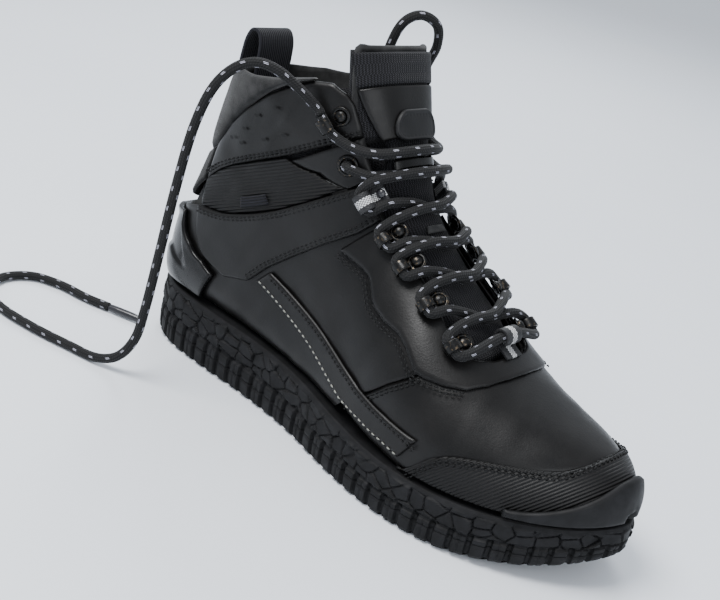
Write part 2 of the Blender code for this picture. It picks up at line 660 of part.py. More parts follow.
top = spaced(round_back([(16.22, 0.745), (16.2, 0.86), (16.2, 1.0)]), 10)
low = spaced(round_back([(15.42, 0.745), (15.25, 0.86), (15.2, 1.0)]), 10)
ruled("achilles_panel", top, low, 3, MAIN, "suede")
top = spaced(round_back(RIM), 26)
low = spaced(round_back([(17.31, 0.345), (17.33, 0.432), (17.23, 0.527), (17.00, 0.628), (16.76, 0.687),
                         (16.28, 0.735), (16.26, 0.86), (16.26, 1.0)]), 26)
ruled("collar_edge", top, low, 3, (1.2, 4.4), "suede")

top = spaced(round_back(CLIP_TOP), 24)
CLIP_RISE = 0.030  # the clip's foot stands clear of the midsole, as a share of q
clip_low = [(u, q - CLIP_RISE) for u, q in feather_run(12.05, HEEL_U - 0.1, -1)]
low = spaced(round_back(clip_low + [(HEEL_U + 0.22, 1.0)]), 24)
ruled("heel_clip", top, low, 4, (3.4, 2.6), "tpu")
top = spaced(round_back([(13.4, 0.60), (14.9, 0.72), (15.3, 1.0)]), 16)
low = spaced(round_back([(11.9, 0.72)] + feather_run(12.1, HEEL_U, -1)[1:-1] + [(HEEL_U + 0.05, 1.0)]), 16)
ruled("heel_counter", top, low, 3, STIFFENER, "board")

# ---------------------------------------------------------------- tongue
TONGUE_OUT, TONGUE_THICK = -3.0, 5.0
DENT_U, DENT_Q, DENT = (13.3, 14.3), 0.080, 6.2  # where the lace presses the tongue's sides in, and how far


def ramp(x, start, end):
    t = np.clip((x - start) / (end - start), 0, 1)
    return t * t * (3 - 2 * t)


def tongue_out(u, q):
    """The tongue's outer face, pressed in beside the eyelets where the lace runs behind the upper."""
    along = ramp(u, DENT_U[0] - 0.5, DENT_U[0]) * (1 - ramp(u, DENT_U[1], DENT_U[1] + 0.5))
    return TONGUE_OUT - DENT * along * ramp(np.abs(q), DENT_Q, DENT_Q + 0.03)


def tongue_patch(name, edge, steps, layer, look):
    """A patch across the tongue; edge lists (u, half width in q) from the bottom up."""
    us = np.linspace(edge[0][0], edge[-1][0], steps[1] + 1)
    halves = np.interp(us, *zip(*edge))
    q = halves[:, None] * np.linspace(-1, 1, steps[0] + 1)[None]
    u = np.broadcast_to(us[:, None], q.shape)
    out = tongue_out(u, q) if layer is None else np.full(q.shape, layer[0])
    return thick_sheet(name, skin(u, q, out), layer[1] if layer else TONGUE_THICK, look)


tongue_patch("tongue", [(6.75, 0.12), (8.0, 0.19), (12.0, 0.205), (17.98, 0.240)], (12, 22), None, "textile")
tongue_patch("tongue_face", [(14.42, 0.108), (15.3, 0.140), (16.2, 0.180), (16.76, 0.200)], (6, 6), (-0.9, 1.2),
             "leather")
tongue_patch("tongue_top_band", [(16.84, 0.203), (17.90, 0.230)], (8, 3), (-0.9, 1.2), "textile")
tongue_patch("tongue_fold", [(12.62, 0.085), (13.24, 0.080)], (6, 3), (-0.9, 1.2), "leather")
tongue_patch("tongue_tab", [(10.24, 0.050), (10.44, 0.040)], (4, 2), (-1.1, 1.1), "suede")


# ---------------------------------------------------------------- small parts placed on the skin
def frame_at(u, q, out=0.0):
    """Point, outward normal, direction up the instep, and direction away from the throat."""
    side = 1 if q >= 0 else -1
    place = skin(u, q, out)
    up = skin(u + 0.15, q, out) - skin(u - 0.15, q, out)
    away = skin(u, q + 0.01 * side, out) - skin(u, q - 0.01 * side, out)
    normal = lookup(NORMALS, u, q)
    normal = normal / np.linalg.norm(normal)
    up = up - normal * up.dot(normal)
    up = up / np.linalg.norm(up)
    away = away - normal * away.dot(normal) - up * away.dot(up)
    return place, normal, up, away / np.linalg.norm(away)


def strip_outline(path, half):
    """A flat strip's outline from its centre path, as (along, height) points."""
    path = np.array(path, float)
    along = np.gradient(path, axis=0)
    along /= np.linalg.norm(along, axis=1, keepdims=True)
    side = np.stack([-along[:, 1], along[:, 0]], 1) * half
    return np.vstack([path + side, (path - side)[::-1]])


def extruded(name, outline, place, across, along, normal, width, look):
    """A strip outline extruded by width across itself."""
    outline = np.asarray(outline)
    ring = place + outline[:, :1] * along + outline[:, 1:] * normal
    points = np.vstack([ring - across * width / 2, ring + across * width / 2])
    count = len(ring)
    faces = [(i, (i + 1) % count, count + (i + 1) % count, count + i) for i in range(count)]
    faces += [tuple(range(count))[::-1], tuple(range(count, 2 * count))]
    mesh = bpy.data.meshes.new(name)
    mesh.from_pydata(to_part(points).tolist(), [], faces)
    return turn_out(add(name, mesh, look))


def lathe(name, profile, place, axis, look, collection="hiking_boot", count=12):
    """A solid of revolution from (radius, height) points that start and end on the axis."""
    axis = Vector(axis).normalized()
    turn = axis.to_track_quat("Z", "Y").to_matrix()
    points, rings = [], []
    for radius, rise in profile:
        ring = []
        steps = count if radius > 1e-6 else 1
        for k in range(steps):
            angle = 2 * math.pi * k / count
            ring.append(len(points))
            points.append(np.array(turn @ Vector((radius * math.cos(angle), radius * math.sin(angle), rise))) + place)
        rings.append(ring)
    faces = []
    for low, high in zip(rings[:-1], rings[1:]):
        for k in range(count):
            a, b = low[k % len(low)], low[(k + 1) % len(low)]
            c, d = high[(k + 1) % len(high)], high[k % len(high)]
            faces.append(tuple(dict.fromkeys((a, b, c, d))))
    mesh = bpy.data.meshes.new(name)
    mesh.from_pydata(to_part(points).tolist(), [], faces)
    return turn_out(add(name, mesh, look, collection))


def ring(name, profile, place, axis, look, count=14):
    """A ring turned about an axis, from a closed (radius, height) outline."""
    turn = Vector(axis).to_track_quat("Z", "Y").to_matrix()
    points = [
        np.array(turn @ Vector((radius * math.cos(angle), radius * math.sin(angle), rise))) + place
        for angle in np.arange(count) * 2 * math.pi / count
        for radius, rise in profile
    ]
    size = len(profile)
    faces = [
        (i * size + j, i * size + (j + 1) % size, (i + 1) % count * size + (j + 1) % size, (i + 1) % count * size + j)
        for i in range(count)
        for j in range(size)
    ]
    mesh = bpy.data.meshes.new(name)
    mesh.from_pydata(to_part(points).tolist(), [], faces)
    return turn_out(add(name, mesh, look))


LACE_CLEARANCE = 0.55
HOOK_THICK, HOOK_WIDTH, HOOK_GAP = 1.1, 5.2, 0.35


def tunnel_rise(thick):
    """How far a loop's lace centre stands above the surface that the loop is fixed to."""
    return HOOK_GAP + thick + LACE_CLEARANCE + LACE_R


def loop(name, place, normal, axis, base, turn, thick, width, look, rivet=None):
    """A strip laid flat for base millimetres, then curled round a tunnel along axis; place is on the surface."""
    along = np.cross(axis, normal)
    radius = LACE_R + LACE_CLEARANCE + thick / 2
    low = HOOK_GAP + thick / 2
    path = [(-base, low), (-base / 2, low), (0.0, low)]
    path += [
        (radius * math.sin(a), low + radius - radius * math.cos(a)) for a in np.radians(np.arange(24, turn + 1, 24))
    ]
    strip = extruded(name, strip_outline(path, thick / 2), place, axis, along, normal, width, look)
    if rivet:
        at = place - along * rivet + normal * (low - 0.1)
        dome = lathe(name + "_rivet", [(0, 0), (3.0, 0), (2.9, 1.1), (2.0, 2.0), (0, 2.4)], at, normal, None, "cutters")
        cut(strip, dome, "UNION")
    return strip


def cord(name, points, radius, look, resolution=2):
    curve = bpy.data.curves.new(name, "CURVE")
    curve.dimensions = "3D"
    curve.bevel_depth = radius * MM
    curve.bevel_resolution = resolution
    curve.use_fill_caps = True
    spline = curve.splines.new("POLY")
    spline.points.add(len(points) - 1)
    for point, place in zip(spline.points, to_part(points)):
        point.co = (*place, 1)
    return add(name, curve, look)


# ---------------------------------------------------------------- lacing
STAY_TOP, PANEL_TOP = OVERLAY[0], MAIN[0]
HOOKS = [(7.43, 0.214), (8.62, 0.208), (9.66, 0.200), (10.50, 0.190)]  # tunnels, from the toe up
WEB_LOOP = (11.86, 0.176)
EYELET = (13.83, 0.193)
TOP_HOOK = (15.75, 0.262)
WEB_THICK = 1.4
EYELET_HOLE = 4.3
MIDDLE_DROP = 0.30  # a straight strand crosses the tongue this much lower, in u, than its ends
KEEPER = (6.97, 12.0)  # the bottom loop: its place in u, and its width


def tunnel(u, q, surface_out, thick, axis=None, half=4.9):
    """Three points straight through a loop, in the direction of travel."""
    place, normal, up, away = frame_at(u, q, surface_out)
    axis = up if axis is None else (axis[0] * up + axis[1] * away) / np.hypot(*axis)
    centre = place + normal * tunnel_rise(thick)
    return [centre - axis * half, centre, centre + axis * half]


def crossing(start, end, side, over, floor):
    """Points from a loop on one side over the throat to the next loop on the other side."""
    found = []
    outs = (5.8, 6.1, 6.2, 6.1, 5.8) if over else (4.7, 1.6, 0.2, 1.6, 4.7)
    for f, out in zip((0.74, 0.40, 0.0, -0.40, -0.74), outs):
        share = (0.74 - f) / 1.48
        u = start[0] + (end[0] - start[0]) * (0.12 + 0.76 * share) - MIDDLE_DROP * (1 - abs(f) / 0.74)
        q = side * (start[1] * f if f > 0 else end[1] * f)
        found.append(skin(u, q, out + floor))
    return found


def strand(side):
    """Half the lace, from the middle of the bottom loop up to the top hook; side is where it starts."""
    centre, normal, _, away = frame_at(KEEPER[0], 0.0, STAY_TOP)
    centre = centre + normal * tunnel_rise(WEB_THICK)
    points = [centre + away * side * (KEEPER[1] / 2 + 2.2), skin(7.00, side * 0.175, 6.8)]
    stops = [(u, q, STAY_TOP, HOOK_THICK) for u, q in HOOKS] + [(*WEB_LOOP, STAY_TOP, WEB_THICK)]
    here = side
    for k, (u, q, out, thick) in enumerate(stops):
        points += tunnel(u, here * q, out, thick)
        if k + 1 < len(stops):
            ends = (u + 0.27, q), (stops[k + 1][0] - 0.27, stops[k + 1][1])
            points += crossing(*ends, here, here < 0, 0.0)
            here = -here
    high = here < 0  # the strand that leaves the lateral side lies on top
    to_eyelet = [(12.56, 0.138, 6.0, 5.2), (12.36, 0.065, 6.3, 1.9), (12.26, 0.0, 6.5, 0.4), (12.40, -0.07, 5.8, 1.9),
                 (12.85, -0.135, 4.3, 3.9), (13.45, -0.170, 4.0, 3.9)]
    points += [skin(u, here * q, over if high else under) for u, q, over, under in to_eyelet]
    here = -here
    points += [skin(EYELET[0], here * EYELET[1], out) for out in (3.2, -2.6)]
    points += [skin(13.92, here * 0.180, -5.0), skin(13.86, here * 0.145, -5.2), skin(13.72, here * 0.110, -2.2)]
    to_hook = [(13.58, 0.060, 2.2, -0.2), (13.55, 0.0, 5.4, -0.1), (13.62, -0.060, 5.9, 0.7), (13.95, -0.120, 5.0, 2.9),
               (14.60, -0.180, 3.7, 3.4)]
    points += [skin(u, here * q, over if high else under) for u, q, over, under in to_hook]
    here = -here
    points += tunnel(TOP_HOOK[0], here * TOP_HOOK[1], PANEL_TOP, HOOK_THICK, TOP_AXIS)
    return np.array(points)


def sampled(points, step):
    """A smooth curve through the points, with samples no further apart than step; the points are kept."""
    fine = smooth(points, 12)
    kept = [points[0]]
    for k in range(len(points) - 1):
        count = max(1, round(np.linalg.norm(points[k + 1] - points[k]) / step))
        kept += [fine[12 * k + round(12 * j / count)] for j in range(1, count + 1)]
    return np.array(kept)


TOP_AXIS = (0.70, 0.71)  # the lace's way through the top hook: up the collar, and away from the throat
STRANDS = {side: strand(side) for side in (-1, 1)}
LACE_STEP = 6.5
cord("lace_held", sampled(np.vstack([STRANDS[-1][::-1], STRANDS[1]]), LACE_STEP), LACE_R, "lace", 1)

for side, word in ((-1, "lateral"), (1, "medial")):
    for k, (u, q) in enumerate(HOOKS):
        place, normal, up, away = frame_at(u, side * q, STAY_TOP)
        loop(f"hook_{word}_{k + 1}", place, normal, up * side, 11.5, 288, HOOK_THICK, HOOK_WIDTH, "metal", 7.6)
    place, normal, up, away = frame_at(WEB_LOOP[0], side * WEB_LOOP[1], STAY_TOP)
    loop(f"webbing_loop_{word}", place, normal, up * side, 11.0, 288, WEB_THICK, 6.0, "webbing")
    place, normal, up, away = frame_at(TOP_HOOK[0], side * TOP_HOOK[1], PANEL_TOP)
    axis = (TOP_AXIS[0] * up + TOP_AXIS[1] * away) / np.hypot(*TOP_AXIS)
    loop(f"top_hook_{word}", place, normal, axis * side, 11.0, 240, HOOK_THICK, 7.0, "metal", 7.4)
    place, normal, up, away = frame_at(EYELET[0], side * EYELET[1], PANEL_TOP)
    hole = lathe(f"eyelet_hole_{word}", [(0, -4), (EYELET_HOLE, -4), (EYELET_HOLE, 4), (0, 4)],
                 place, normal, None, "cutters")
    cut(bpy.data.objects["eyelet_panel_" + word], hole)
    ring(f"eyelet_ring_{word}", [(3.35, -1.7), (3.95, -1.7), (3.9, 0.35), (5.4, 0.35), (5.0, 1.0), (3.8, 1.1), (3.35, 0.5)],
         place, normal, "metal")

place, normal, up, away = frame_at(KEEPER[0], 0.0, STAY_TOP)
loop("lace_keeper", place, normal, -away, 10.0, 288, WEB_THICK, KEEPER[1], "webbing")

# ---------------------------------------------------------------- free ends of the lace
GROUND = LACE_R + 0.15


def free_end(word, points, tip):
    """A free end from the top hook to its aglet; tip is the aglet's length."""
    path = sampled(np.array(points), 9.0)
    lengths = np.linalg.norm(np.diff(path, axis=0), axis=1)
    cord("lace_end_" + word, path, LACE_R, "lace", 2)
    heading = (path[-1] - path[-2]) / lengths[-1]
    start = path[-1] + heading * 0.35
    cord("aglet_" + word, [start, start + heading * tip * 0.5, start + heading * tip], 2.3, "tpu", 2)
    return lengths.sum() + 0.35 + tip


AGLET = 22.0
ENDS = {int(np.sign(STRANDS[side][-1][1])): STRANDS[side][-2:] for side in (-1, 1)}


def from_hook(side):
    before, last = ENDS[side]
    heading = (last - before) / np.linalg.norm(last - before)
    return [last + heading * 0.35, last + heading * 6.0]


lateral = from_hook(-1) + [
    (86, -55, 176), (74, -64, 176), (64, -71, 163), (59, -75, 140), (57, -77, 105), (56, -78, 70), (55, -79, 40),
    (53, -80, 22), (46, -83, 9), (34, -87, 3.2), (18, -91, GROUND), (-8, -97, GROUND), (-34, -99, GROUND),
    (-54, -92, GROUND), (-64, -76, GROUND), (-60, -59, GROUND), (-45, -50, GROUND), (-26, -46, GROUND),
    (-12, -41, GROUND),
]
medial = from_hook(1) + [
    (93, 49, 178), (97, 48, 192), (98, 42, 203), (94, 32, 207), (89, 25, 201), (86, 23, 186), (86, 22.5, 165),
    (86, 22.3, 140), (86, 22, 115), (86, 22, 90), (86, 22, 75),
]
free_end("lateral", lateral, AGLET)
free_end("medial", medial, AGLET)

# ---------------------------------------------------------------- trim
LOOP_WIDTH, LOOP_THICK = 25.0, 1.6
strap = smooth([(17.6, 122), (18.6, 136), (19.8, 150), (20.3, 162), (21.2, 171), (24.0, 176.6), (28.4, 176.6),
                (31.4, 171), (32.2, 160), (32.2, 148), (32.2, 138)], 2)
extruded("pull_loop", strip_outline(strap, LOOP_THICK / 2), np.array([0.0, 0.0, 0.0]), np.array([0, 1.0, 0]),
         np.array([1.0, 0, 0]), np.array([0, 0, 1.0]), LOOP_WIDTH, "webbing")
label_top = spaced(sides([(14.12, 0.445), (14.40, 0.540)], -1), 4)
label_low = spaced(sides([(13.62, 0.430), (14.02, 0.536)], -1), 4)
ruled("side_label", label_top, label_low, 2, (1.5, 0.9), "webbing", 0.0)


def make_badge():
    """A blank stadium-shaped badge that follows the tongue."""
    half_long, half_high, centre_u = 15.0, 7.5, 14.95
    rows = []
    scale_q = 1 / np.linalg.norm(skin(centre_u, 0.01) - skin(centre_u, -0.01)) * 0.02
    scale_u = 1 / np.linalg.norm(skin(centre_u + 0.5, 0) - skin(centre_u - 0.5, 0))
    for x in np.linspace(-half_long + 0.4, half_long - 0.4, 13):
        bend = max(abs(x) - (half_long - half_high), 0.0)
        high = math.sqrt(half_high**2 - bend**2)
        rows.append([(centre_u + y * scale_u, x * scale_q) for y in np.linspace(-high, high, 5)])
    grid = np.array(rows)
    thick_sheet("tongue_badge", skin(grid[..., 0], grid[..., 1], 1.0), 1.5, "rubber")


make_badge()

# ---------------------------------------------------------------- origins of the moving pieces
TONGUE_PIVOT = Vector((0.066, 0.001, 0.080))
FOOTBED_PIVOT = Vector((0.130, 0.001, 0.0335))


def set_origin(names, pivot):
    """Puts the origin of each named piece on its joint's axis and leaves the piece where it is."""
    for name in names:
        obj = bpy.data.objects[name]
        obj.data.transform(Matrix.Translation(-pivot))
        obj.location = pivot


set_origin(
    ["tongue", "tongue_face", "tongue_top_band", "tongue_fold", "tongue_tab", "tongue_badge"], TONGUE_PIVOT
)
set_origin(["footbed"], FOOTBED_PIVOT)
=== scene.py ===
"""Looks for the hiking boot: camera, lace, leather panels, stitching, hardware, sole, floor and light."""
import math

import bpy
import numpy as np
from mathutils import Matrix, Vector
from mathutils.bvhtree import BVHTree


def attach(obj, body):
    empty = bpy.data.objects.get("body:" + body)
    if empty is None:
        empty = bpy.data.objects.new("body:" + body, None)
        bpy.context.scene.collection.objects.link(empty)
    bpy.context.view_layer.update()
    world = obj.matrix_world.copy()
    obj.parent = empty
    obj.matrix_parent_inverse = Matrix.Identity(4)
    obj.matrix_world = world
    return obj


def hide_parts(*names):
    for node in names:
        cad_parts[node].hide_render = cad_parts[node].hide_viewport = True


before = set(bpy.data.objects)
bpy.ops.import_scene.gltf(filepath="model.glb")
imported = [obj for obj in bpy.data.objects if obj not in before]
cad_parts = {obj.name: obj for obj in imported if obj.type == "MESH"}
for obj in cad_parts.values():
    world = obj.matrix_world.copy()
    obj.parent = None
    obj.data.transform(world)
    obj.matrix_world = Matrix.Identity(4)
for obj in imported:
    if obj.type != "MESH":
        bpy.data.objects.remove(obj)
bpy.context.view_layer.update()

BOOT, TONGUE = "boot", "tongue"
MM = 0.001
# Heel and centre line of the drawing below, measured from the origin of the part, in millimetres.
ORIGIN_X = 149.0
ORIGIN_Y = -1.0

# Plan outline of the sole: x forward from the heel, y towards the medial side.
SOLE_OUTLINE = [
    (0, 2), (4, -14), (14, -26), (32, -34), (60, -36.5), (95, -37), (130, -41), (165, -50), (195, -55),
    (225, -54), (252, -46), (276, -32), (293, -15), (301, 4), (297, 20), (284, 34.5), (264, 46),
    (240, 52.5), (215, 53), (185, 46), (150, 37), (115, 33.5), (80, 35), (50, 36), (25, 31), (8, 18),
]
SOLE_MIDDLE_X = 150.5
LAST_GROW = (0.965, 0.925)  # the upper's widest contour, as a share of the sole's outline

# Key sections of the upper: front point x, z; bottom point x, z; centre y; half widths lateral and medial;
# where the widest point lies; and the superellipse exponents in front of it and behind it.
TOE_SECTIONS = [  # upright sections, which take their widths from the plan outline
    (295.6, 41, 34, 0.50, 2.0, 2.0), (293.5, 48.5, 30, 0.55, 2.0, 2.2), (289, 54, 27, 0.60, 2.1, 2.6),
    (281, 59, 25, 0.66, 2.2, 3.0), (268, 63.5, 22, 0.70, 2.2, 3.4), (250, 68.5, 20, 0.72, 2.1, 3.6),
    (230, 75, 19, 0.73, 2.1, 3.8), (211, 84, 19.5, 0.74, 2.2, 4.0),
]
BODY_SECTIONS = [
    (196, 94, 186, 21.5, 0, 50.0, 45.5, 0.76, 2.35, 4.0),
        (180, 106, 155, 25, 0, 44.5, 39.5, 0.78, 2.45, 4.0),
    (165, 118, 120, 28, 0, 37.8, 35.0, 0.78, 2.60, 4.0), (152, 130, 80, 29, 0, 34.5, 33.0, 0.74, 2.70, 4.0),
    (145, 141, 42, 29, 0, 34.5, 33.5, 0.68, 2.80, 3.8), (140, 149, 14, 31, 0, 35.0, 34.5, 0.62, 2.90, 3.4),
    (136, 156, 7, 46, 0, 36.0, 35.5, 0.60, 3.00, 3.0), (132, 164, 9, 72, 0, 37.0, 36.5, 0.58, 3.00, 2.8),
    (127, 174, 15, 100, 0, 38.0, 37.5, 0.55, 3.00, 2.5),
        (122, 184, 21, 128, 0, 38.5, 38.0, 0.53, 3.00, 2.3),
    (116, 197, 23, 160, 0, 39.5, 39.0, 0.52, 3.00, 2.2),
]
TABLE_U, TABLE_Q, DENSE = 270, 240, 80

# Layers of the upper, in millimetres from the skin: where each one's outer face lies, and its thickness.
OVERLAY = (2.1, 1.3)
MAIN = (0.0, 1.8)
LINING = (-4.7, 2.0)

LACE_R = 2.5


# ---------------------------------------------------------------- curves and outlines
def smooth(points, steps, closed=False):
    """A Catmull-Rom curve through the points."""
    p = np.array(points, float)
    count = len(p)
    ends = range(count if closed else count - 1)
    found = []
    for i in ends:
        if closed:
            a, b, c, d = p[i - 1], p[i], p[(i + 1) % count], p[(i + 2) % count]
        else:
            b, c = p[i], p[i + 1]
            a = p[i - 1] if i else 2 * b - c
            d = p[i + 2] if i + 2 < count else 2 * c - b
        for t in np.arange(steps) / steps:
            found.append(
                0.5 * (2 * b + (c - a) * t + (2 * a - 5 * b + 4 * c - d) * t**2 + (3 * b - a - 3 * c
                    + d) * t**3)
            )
    if not closed:
        found.append(p[-1])
    return np.array(found)


def resample(points, count, closed=False):
    p = np.vstack([points, points[:1]]) if closed else points
    s = np.concatenate([[0], np.cumsum(np.linalg.norm(np.diff(p, axis=0), axis=1))])
    at = np.linspace(0, s[-1], count + 1)[:-1] if closed else np.linspace(0, s[-1], count)
    return np.stack([np.interp(at, s, p[:, k]) for k in range(p.shape[1])], 1)


OUTLINE = smooth(SOLE_OUTLINE, 12, closed=True)


def height(x, table):
    """A smooth height profile given at a few x."""
    xs, zs = zip(*table)
    fine = smooth(list(zip(xs, zs)), 10)
    return np.interp(x, fine[:, 0], fine[:, 1])


def plan_edges(x, grow=LAST_GROW):
    """The two y where the scaled sole outline crosses x."""
    outline = OUTLINE.copy()
    outline[:, 0] = SOLE_MIDDLE_X + (outline[:, 0] - SOLE_MIDDLE_X) * grow[0]
    outline[:, 1] *= grow[1]
    after = np.roll(outline, -1, axis=0)
    crossing = (outline[:, 0] - x) * (after[:, 0] - x) <= 0
    a, b = outline[crossing], after[crossing]
    if not len(a):
        return 0.0, 0.0
    share = (x - a[:, 0]) / np.where(b[:, 0] == a[:, 0], 1, b[:, 0] - a[:, 0])
    y = a[:, 1] + share * (b[:, 1] - a[:, 1])
    return y.min(), y.max()


# ---------------------------------------------------------------- the upper's skin
def key_table():
    keys = []
    for x, top, bottom, widest, front, back in TOE_SECTIONS:
        low, high = plan_edges(x)
        half = (high - low) / 2
        keys.append((x, top, x, bottom, (low + high) / 2, half, half, widest, front, back))
    return np.array(keys + BODY_SECTIONS, float)


def skin_table():
    """Points of the skin: TABLE_U + 1 sections by TABLE_Q + 1 places from q = -1 to q = 1."""
    keys = smooth(key_table(), 40)
    last = len(key_table()) - 1
    at = np.linspace(0, last, len(keys))
    angle = np.linspace(0, math.pi / 2, DENSE)
    rows = []
    for u in np.linspace(0, last, TABLE_U + 1):
        fx, fz, bx, bz, middle, lateral, medial, widest, front, back = [
            np.interp(u, at, keys[:, k]) for k in range(10)
        ]
        t = np.concatenate([
            widest * (1 - np.cos(angle) ** (2 / front)),
                widest + (1 - widest) * np.sin(angle[1:]) ** (2 / back)
        ])
        w = np.concatenate([np.sin(angle) ** (2 / front), np.cos(angle[1:]) ** (2 / back)])
        row = []
        for side, half in ((-1, lateral), (1, medial)):
            loop = np.stack([fx + (bx - fx) * t, middle + side * half * w, fz + (bz - fz) * t], 1)
            row.append(resample(loop, TABLE_Q // 2 + 1))
        rows.append(np.vstack([row[0][::-1], row[1][1:]]))
    return np.array(rows)


SKIN = skin_table()
LAST_U = len(TOE_SECTIONS) + len(BODY_SECTIONS) - 1


def skin_normals():
    along = np.gradient(SKIN, axis=0)
    ring = np.concatenate([SKIN[:, -2:-1], SKIN, SKIN[:, 1:2]], axis=1)
    round_ = ring[:, 2:] - ring[:, :-2]
    normal = np.cross(round_, along)
    return normal / np.maximum(np.linalg.norm(normal, axis=2, keepdims=True), 1e-9)


NORMALS = skin_normals()


def lookup(table, u, q):
    q = (np.asarray(q, float) + 1) % 2 * TABLE_Q / 2
    u = np.clip(np.asarray(u, float), 0, LAST_U) / LAST_U * TABLE_U
    i, j = np.minimum(u.astype(int), TABLE_U - 1), np.minimum(q.astype(int), TABLE_Q - 1)
    a, b = (u - i)[..., None], (q - j)[..., None]
    low = table[i, j] * (1 - b) + table[i, j + 1] * b
    high = table[i + 1, j] * (1 - b) + table[i + 1, j + 1] * b
    return low * (1 - a) + high * a


def skin(u, q, out=0.0):
    """Drawing points on the skin at (u, q), moved out along the normal."""
    u, q = np.broadcast_arrays(np.asarray(u, float), np.asarray(q, float))
    normal = lookup(NORMALS, u, q)
    normal = normal / np.linalg.norm(normal, axis=-1, keepdims=True)
    return lookup(SKIN, u, q) + normal * np.asarray(out, float)[..., None]


# ---------------------------------------------------------------- heights along the sole
TREAD = [(0, 5.5), (12, 1.5), (25, 0), (60, 0), (150, 0), (225, 0), (243, 0.8), (262, 3.6), (280, 8.0),
    (301, 15.5)]
MIDSOLE_LOW = [(0, 13), (25, 11), (60, 10), (150, 9), (225, 9), (262, 11.5), (285, 16), (301, 21)]
MIDSOLE_TOP = [(0, 33.5), (60, 33), (110, 32), (150, 29), (185, 26.5), (215, 25.5), (245, 26), (270, 28),
    (301, 33)]
FEATHER_LIFT = 0.5  # gap between the midsole and the upper's lower edge


def feather(u, side):
    """The |q| at which the skin comes down to the midsole's top, at section u."""
    q = np.linspace(0.35, 1.0, 131)
    points = skin(np.full_like(q, u), side * q)
    above = points[:, 2] - height(points[:, 0], MIDSOLE_TOP) - FEATHER_LIFT
    below = np.nonzero(above < 0)[0]
    if not len(below):
        return 1.0
    k = below[0]
    share = above[k - 1] / (above[k - 1] - above[k]) if k else 0
    return float(q[max(k - 1, 0)] + share * (q[1] - q[0]))


FEATHER_US = np.linspace(0.2, 14.2, 141)
FEATHER = {side: np.array([feather(u, side) for u in FEATHER_US]) for side in (-1, 1)}


def feather_q(u, side):
    return np.interp(u, FEATHER_US, FEATHER[side])


def feather_run(start, end, side):
    """(u, |q|) points of the feather line from section start to section end."""
    us = np.linspace(start, end, 24)
    return [(u, min(float(feather_q(u, side)), 1.0)) for u in us]


HEEL_U = float(FEATHER_US[(FEATHER_US > 8) & (FEATHER[-1] > 0.999)][0])  # where it reaches the back line
TIP_U = float(FEATHER_US[(FEATHER_US < 4) & (FEATHER[-1] < 0.999)][0])  # and where it rounds the toe

# ---------------------------------------------------------------- seams, as (u, |q|)
FRONT_SEAM = [(8.55, 0.558), (8.15, 0.448), (7.72, 0.360), (7.45, 0.270), (7.20, 0.190)]  # vamp to quarter
THROAT = [(7.20, 0.182), (7.78, 0.178), (8.90, 0.160), (9.61, 0.160), (10.91, 0.157), (12.55, 0.145)]
THROAT_FRONT = [(7.20, 0.182), (6.85, 0.150), (6.62, 0.090), (6.55, 0.0)]
STAY_EDGE = [
    (11.05, 0.323), (10.74, 0.315), (10.34, 0.302), (10.09, 0.300), (9.81, 0.322), (9.54, 0.343),
        (9.10, 0.339),
    (8.64, 0.322), (8.29, 0.327), (7.99, 0.340), (7.73, 0.351), (7.47, 0.339), (6.92, 0.302), (6.49, 0.258),
    (6.22, 0.183), (6.08, 0.092), (6.04, 0.0),
]
ANKLE_TOP = [
    (12.55, 0.153), (12.76, 0.228), (12.99, 0.320), (13.24, 0.407), (13.54, 0.479), (14.07, 0.593),
        (14.53, 0.684),
    (14.71, 0.721),
]
ANKLE_LOW = [(11.10, 0.165), (11.14, 0.247), (11.38, 0.340), (11.59, 0.453), (11.72, 0.558), (11.75, 0.679)]
CLIP_TOP = [(12.30, 0.712), (12.81, 0.700), (13.57, 0.722), (14.70, 0.784), (15.00, 0.880), (15.05, 1.0)]
INSERT_TOP = [(14.98, 0.385), (15.11, 0.400), (15.33, 0.510), (15.46, 0.608), (15.48, 0.668),
    (15.40, 0.731)]
INSERT_FRONT = [(14.98, 0.385), (14.04, 0.284), (12.81, 0.213)]
COLLAR_LOW = [(14.87, 0.160), (14.90, 0.201), (15.03, 0.300), (15.11, 0.382), (15.33, 0.510),
    (15.46, 0.608),
              (15.48, 0.668), (15.40, 0.731)]
COLLAR_TOP = [(16.20, 0.198), (16.66, 0.227), (17.13, 0.282), (17.29, 0.354), (17.29, 0.432),
    (17.19, 0.527),
              (16.96, 0.628), (16.72, 0.687), (16.24, 0.731)]
RIM_FRONT = [(12.66, 0.145), (12.80, 0.131), (14.29, 0.146), (14.87, 0.156)]
RIM = [(17.36, 0.354), (17.44, 0.432), (17.52, 0.527), (17.66, 0.640), (17.80, 0.727), (17.92, 0.860),
    (17.95, 1.0)]
GUARD_TOP = [
    (7.15, 0.655), (6.79, 0.598), (6.42, 0.523), (6.06, 0.477), (5.78, 0.454), (5.19, 0.415), (4.65, 0.383),
    (4.17, 0.354), (3.72, 0.317), (3.28, 0.209), (3.13, 0.029),
]


def sides(curve, side):
    return np.array([(u, side * q) for u, q in curve])


def both_sides(curve):
    """A curve given from the lateral end to the centre line, carried on to the medial side."""
    lateral = sides(curve, -1)
    return np.vstack([lateral, (lateral * (1, -1))[-2 if abs(curve[-1][1]) < 1e-6 else -1 :: -1]])


def length_share(points):
    """The curve's arc length on the skin, as running shares."""
    dense = np.vstack([
        np.linspace(a, b, 12, endpoint=False) for a, b in zip(points[:-1], points[1:])
    ] + [points[-1:]])
    s = np.concatenate([[0], np.cumsum(np.linalg.norm(np.diff(skin(dense[:, 0], dense[:, 1]), axis=0),
        axis=1))])
    return dense, s


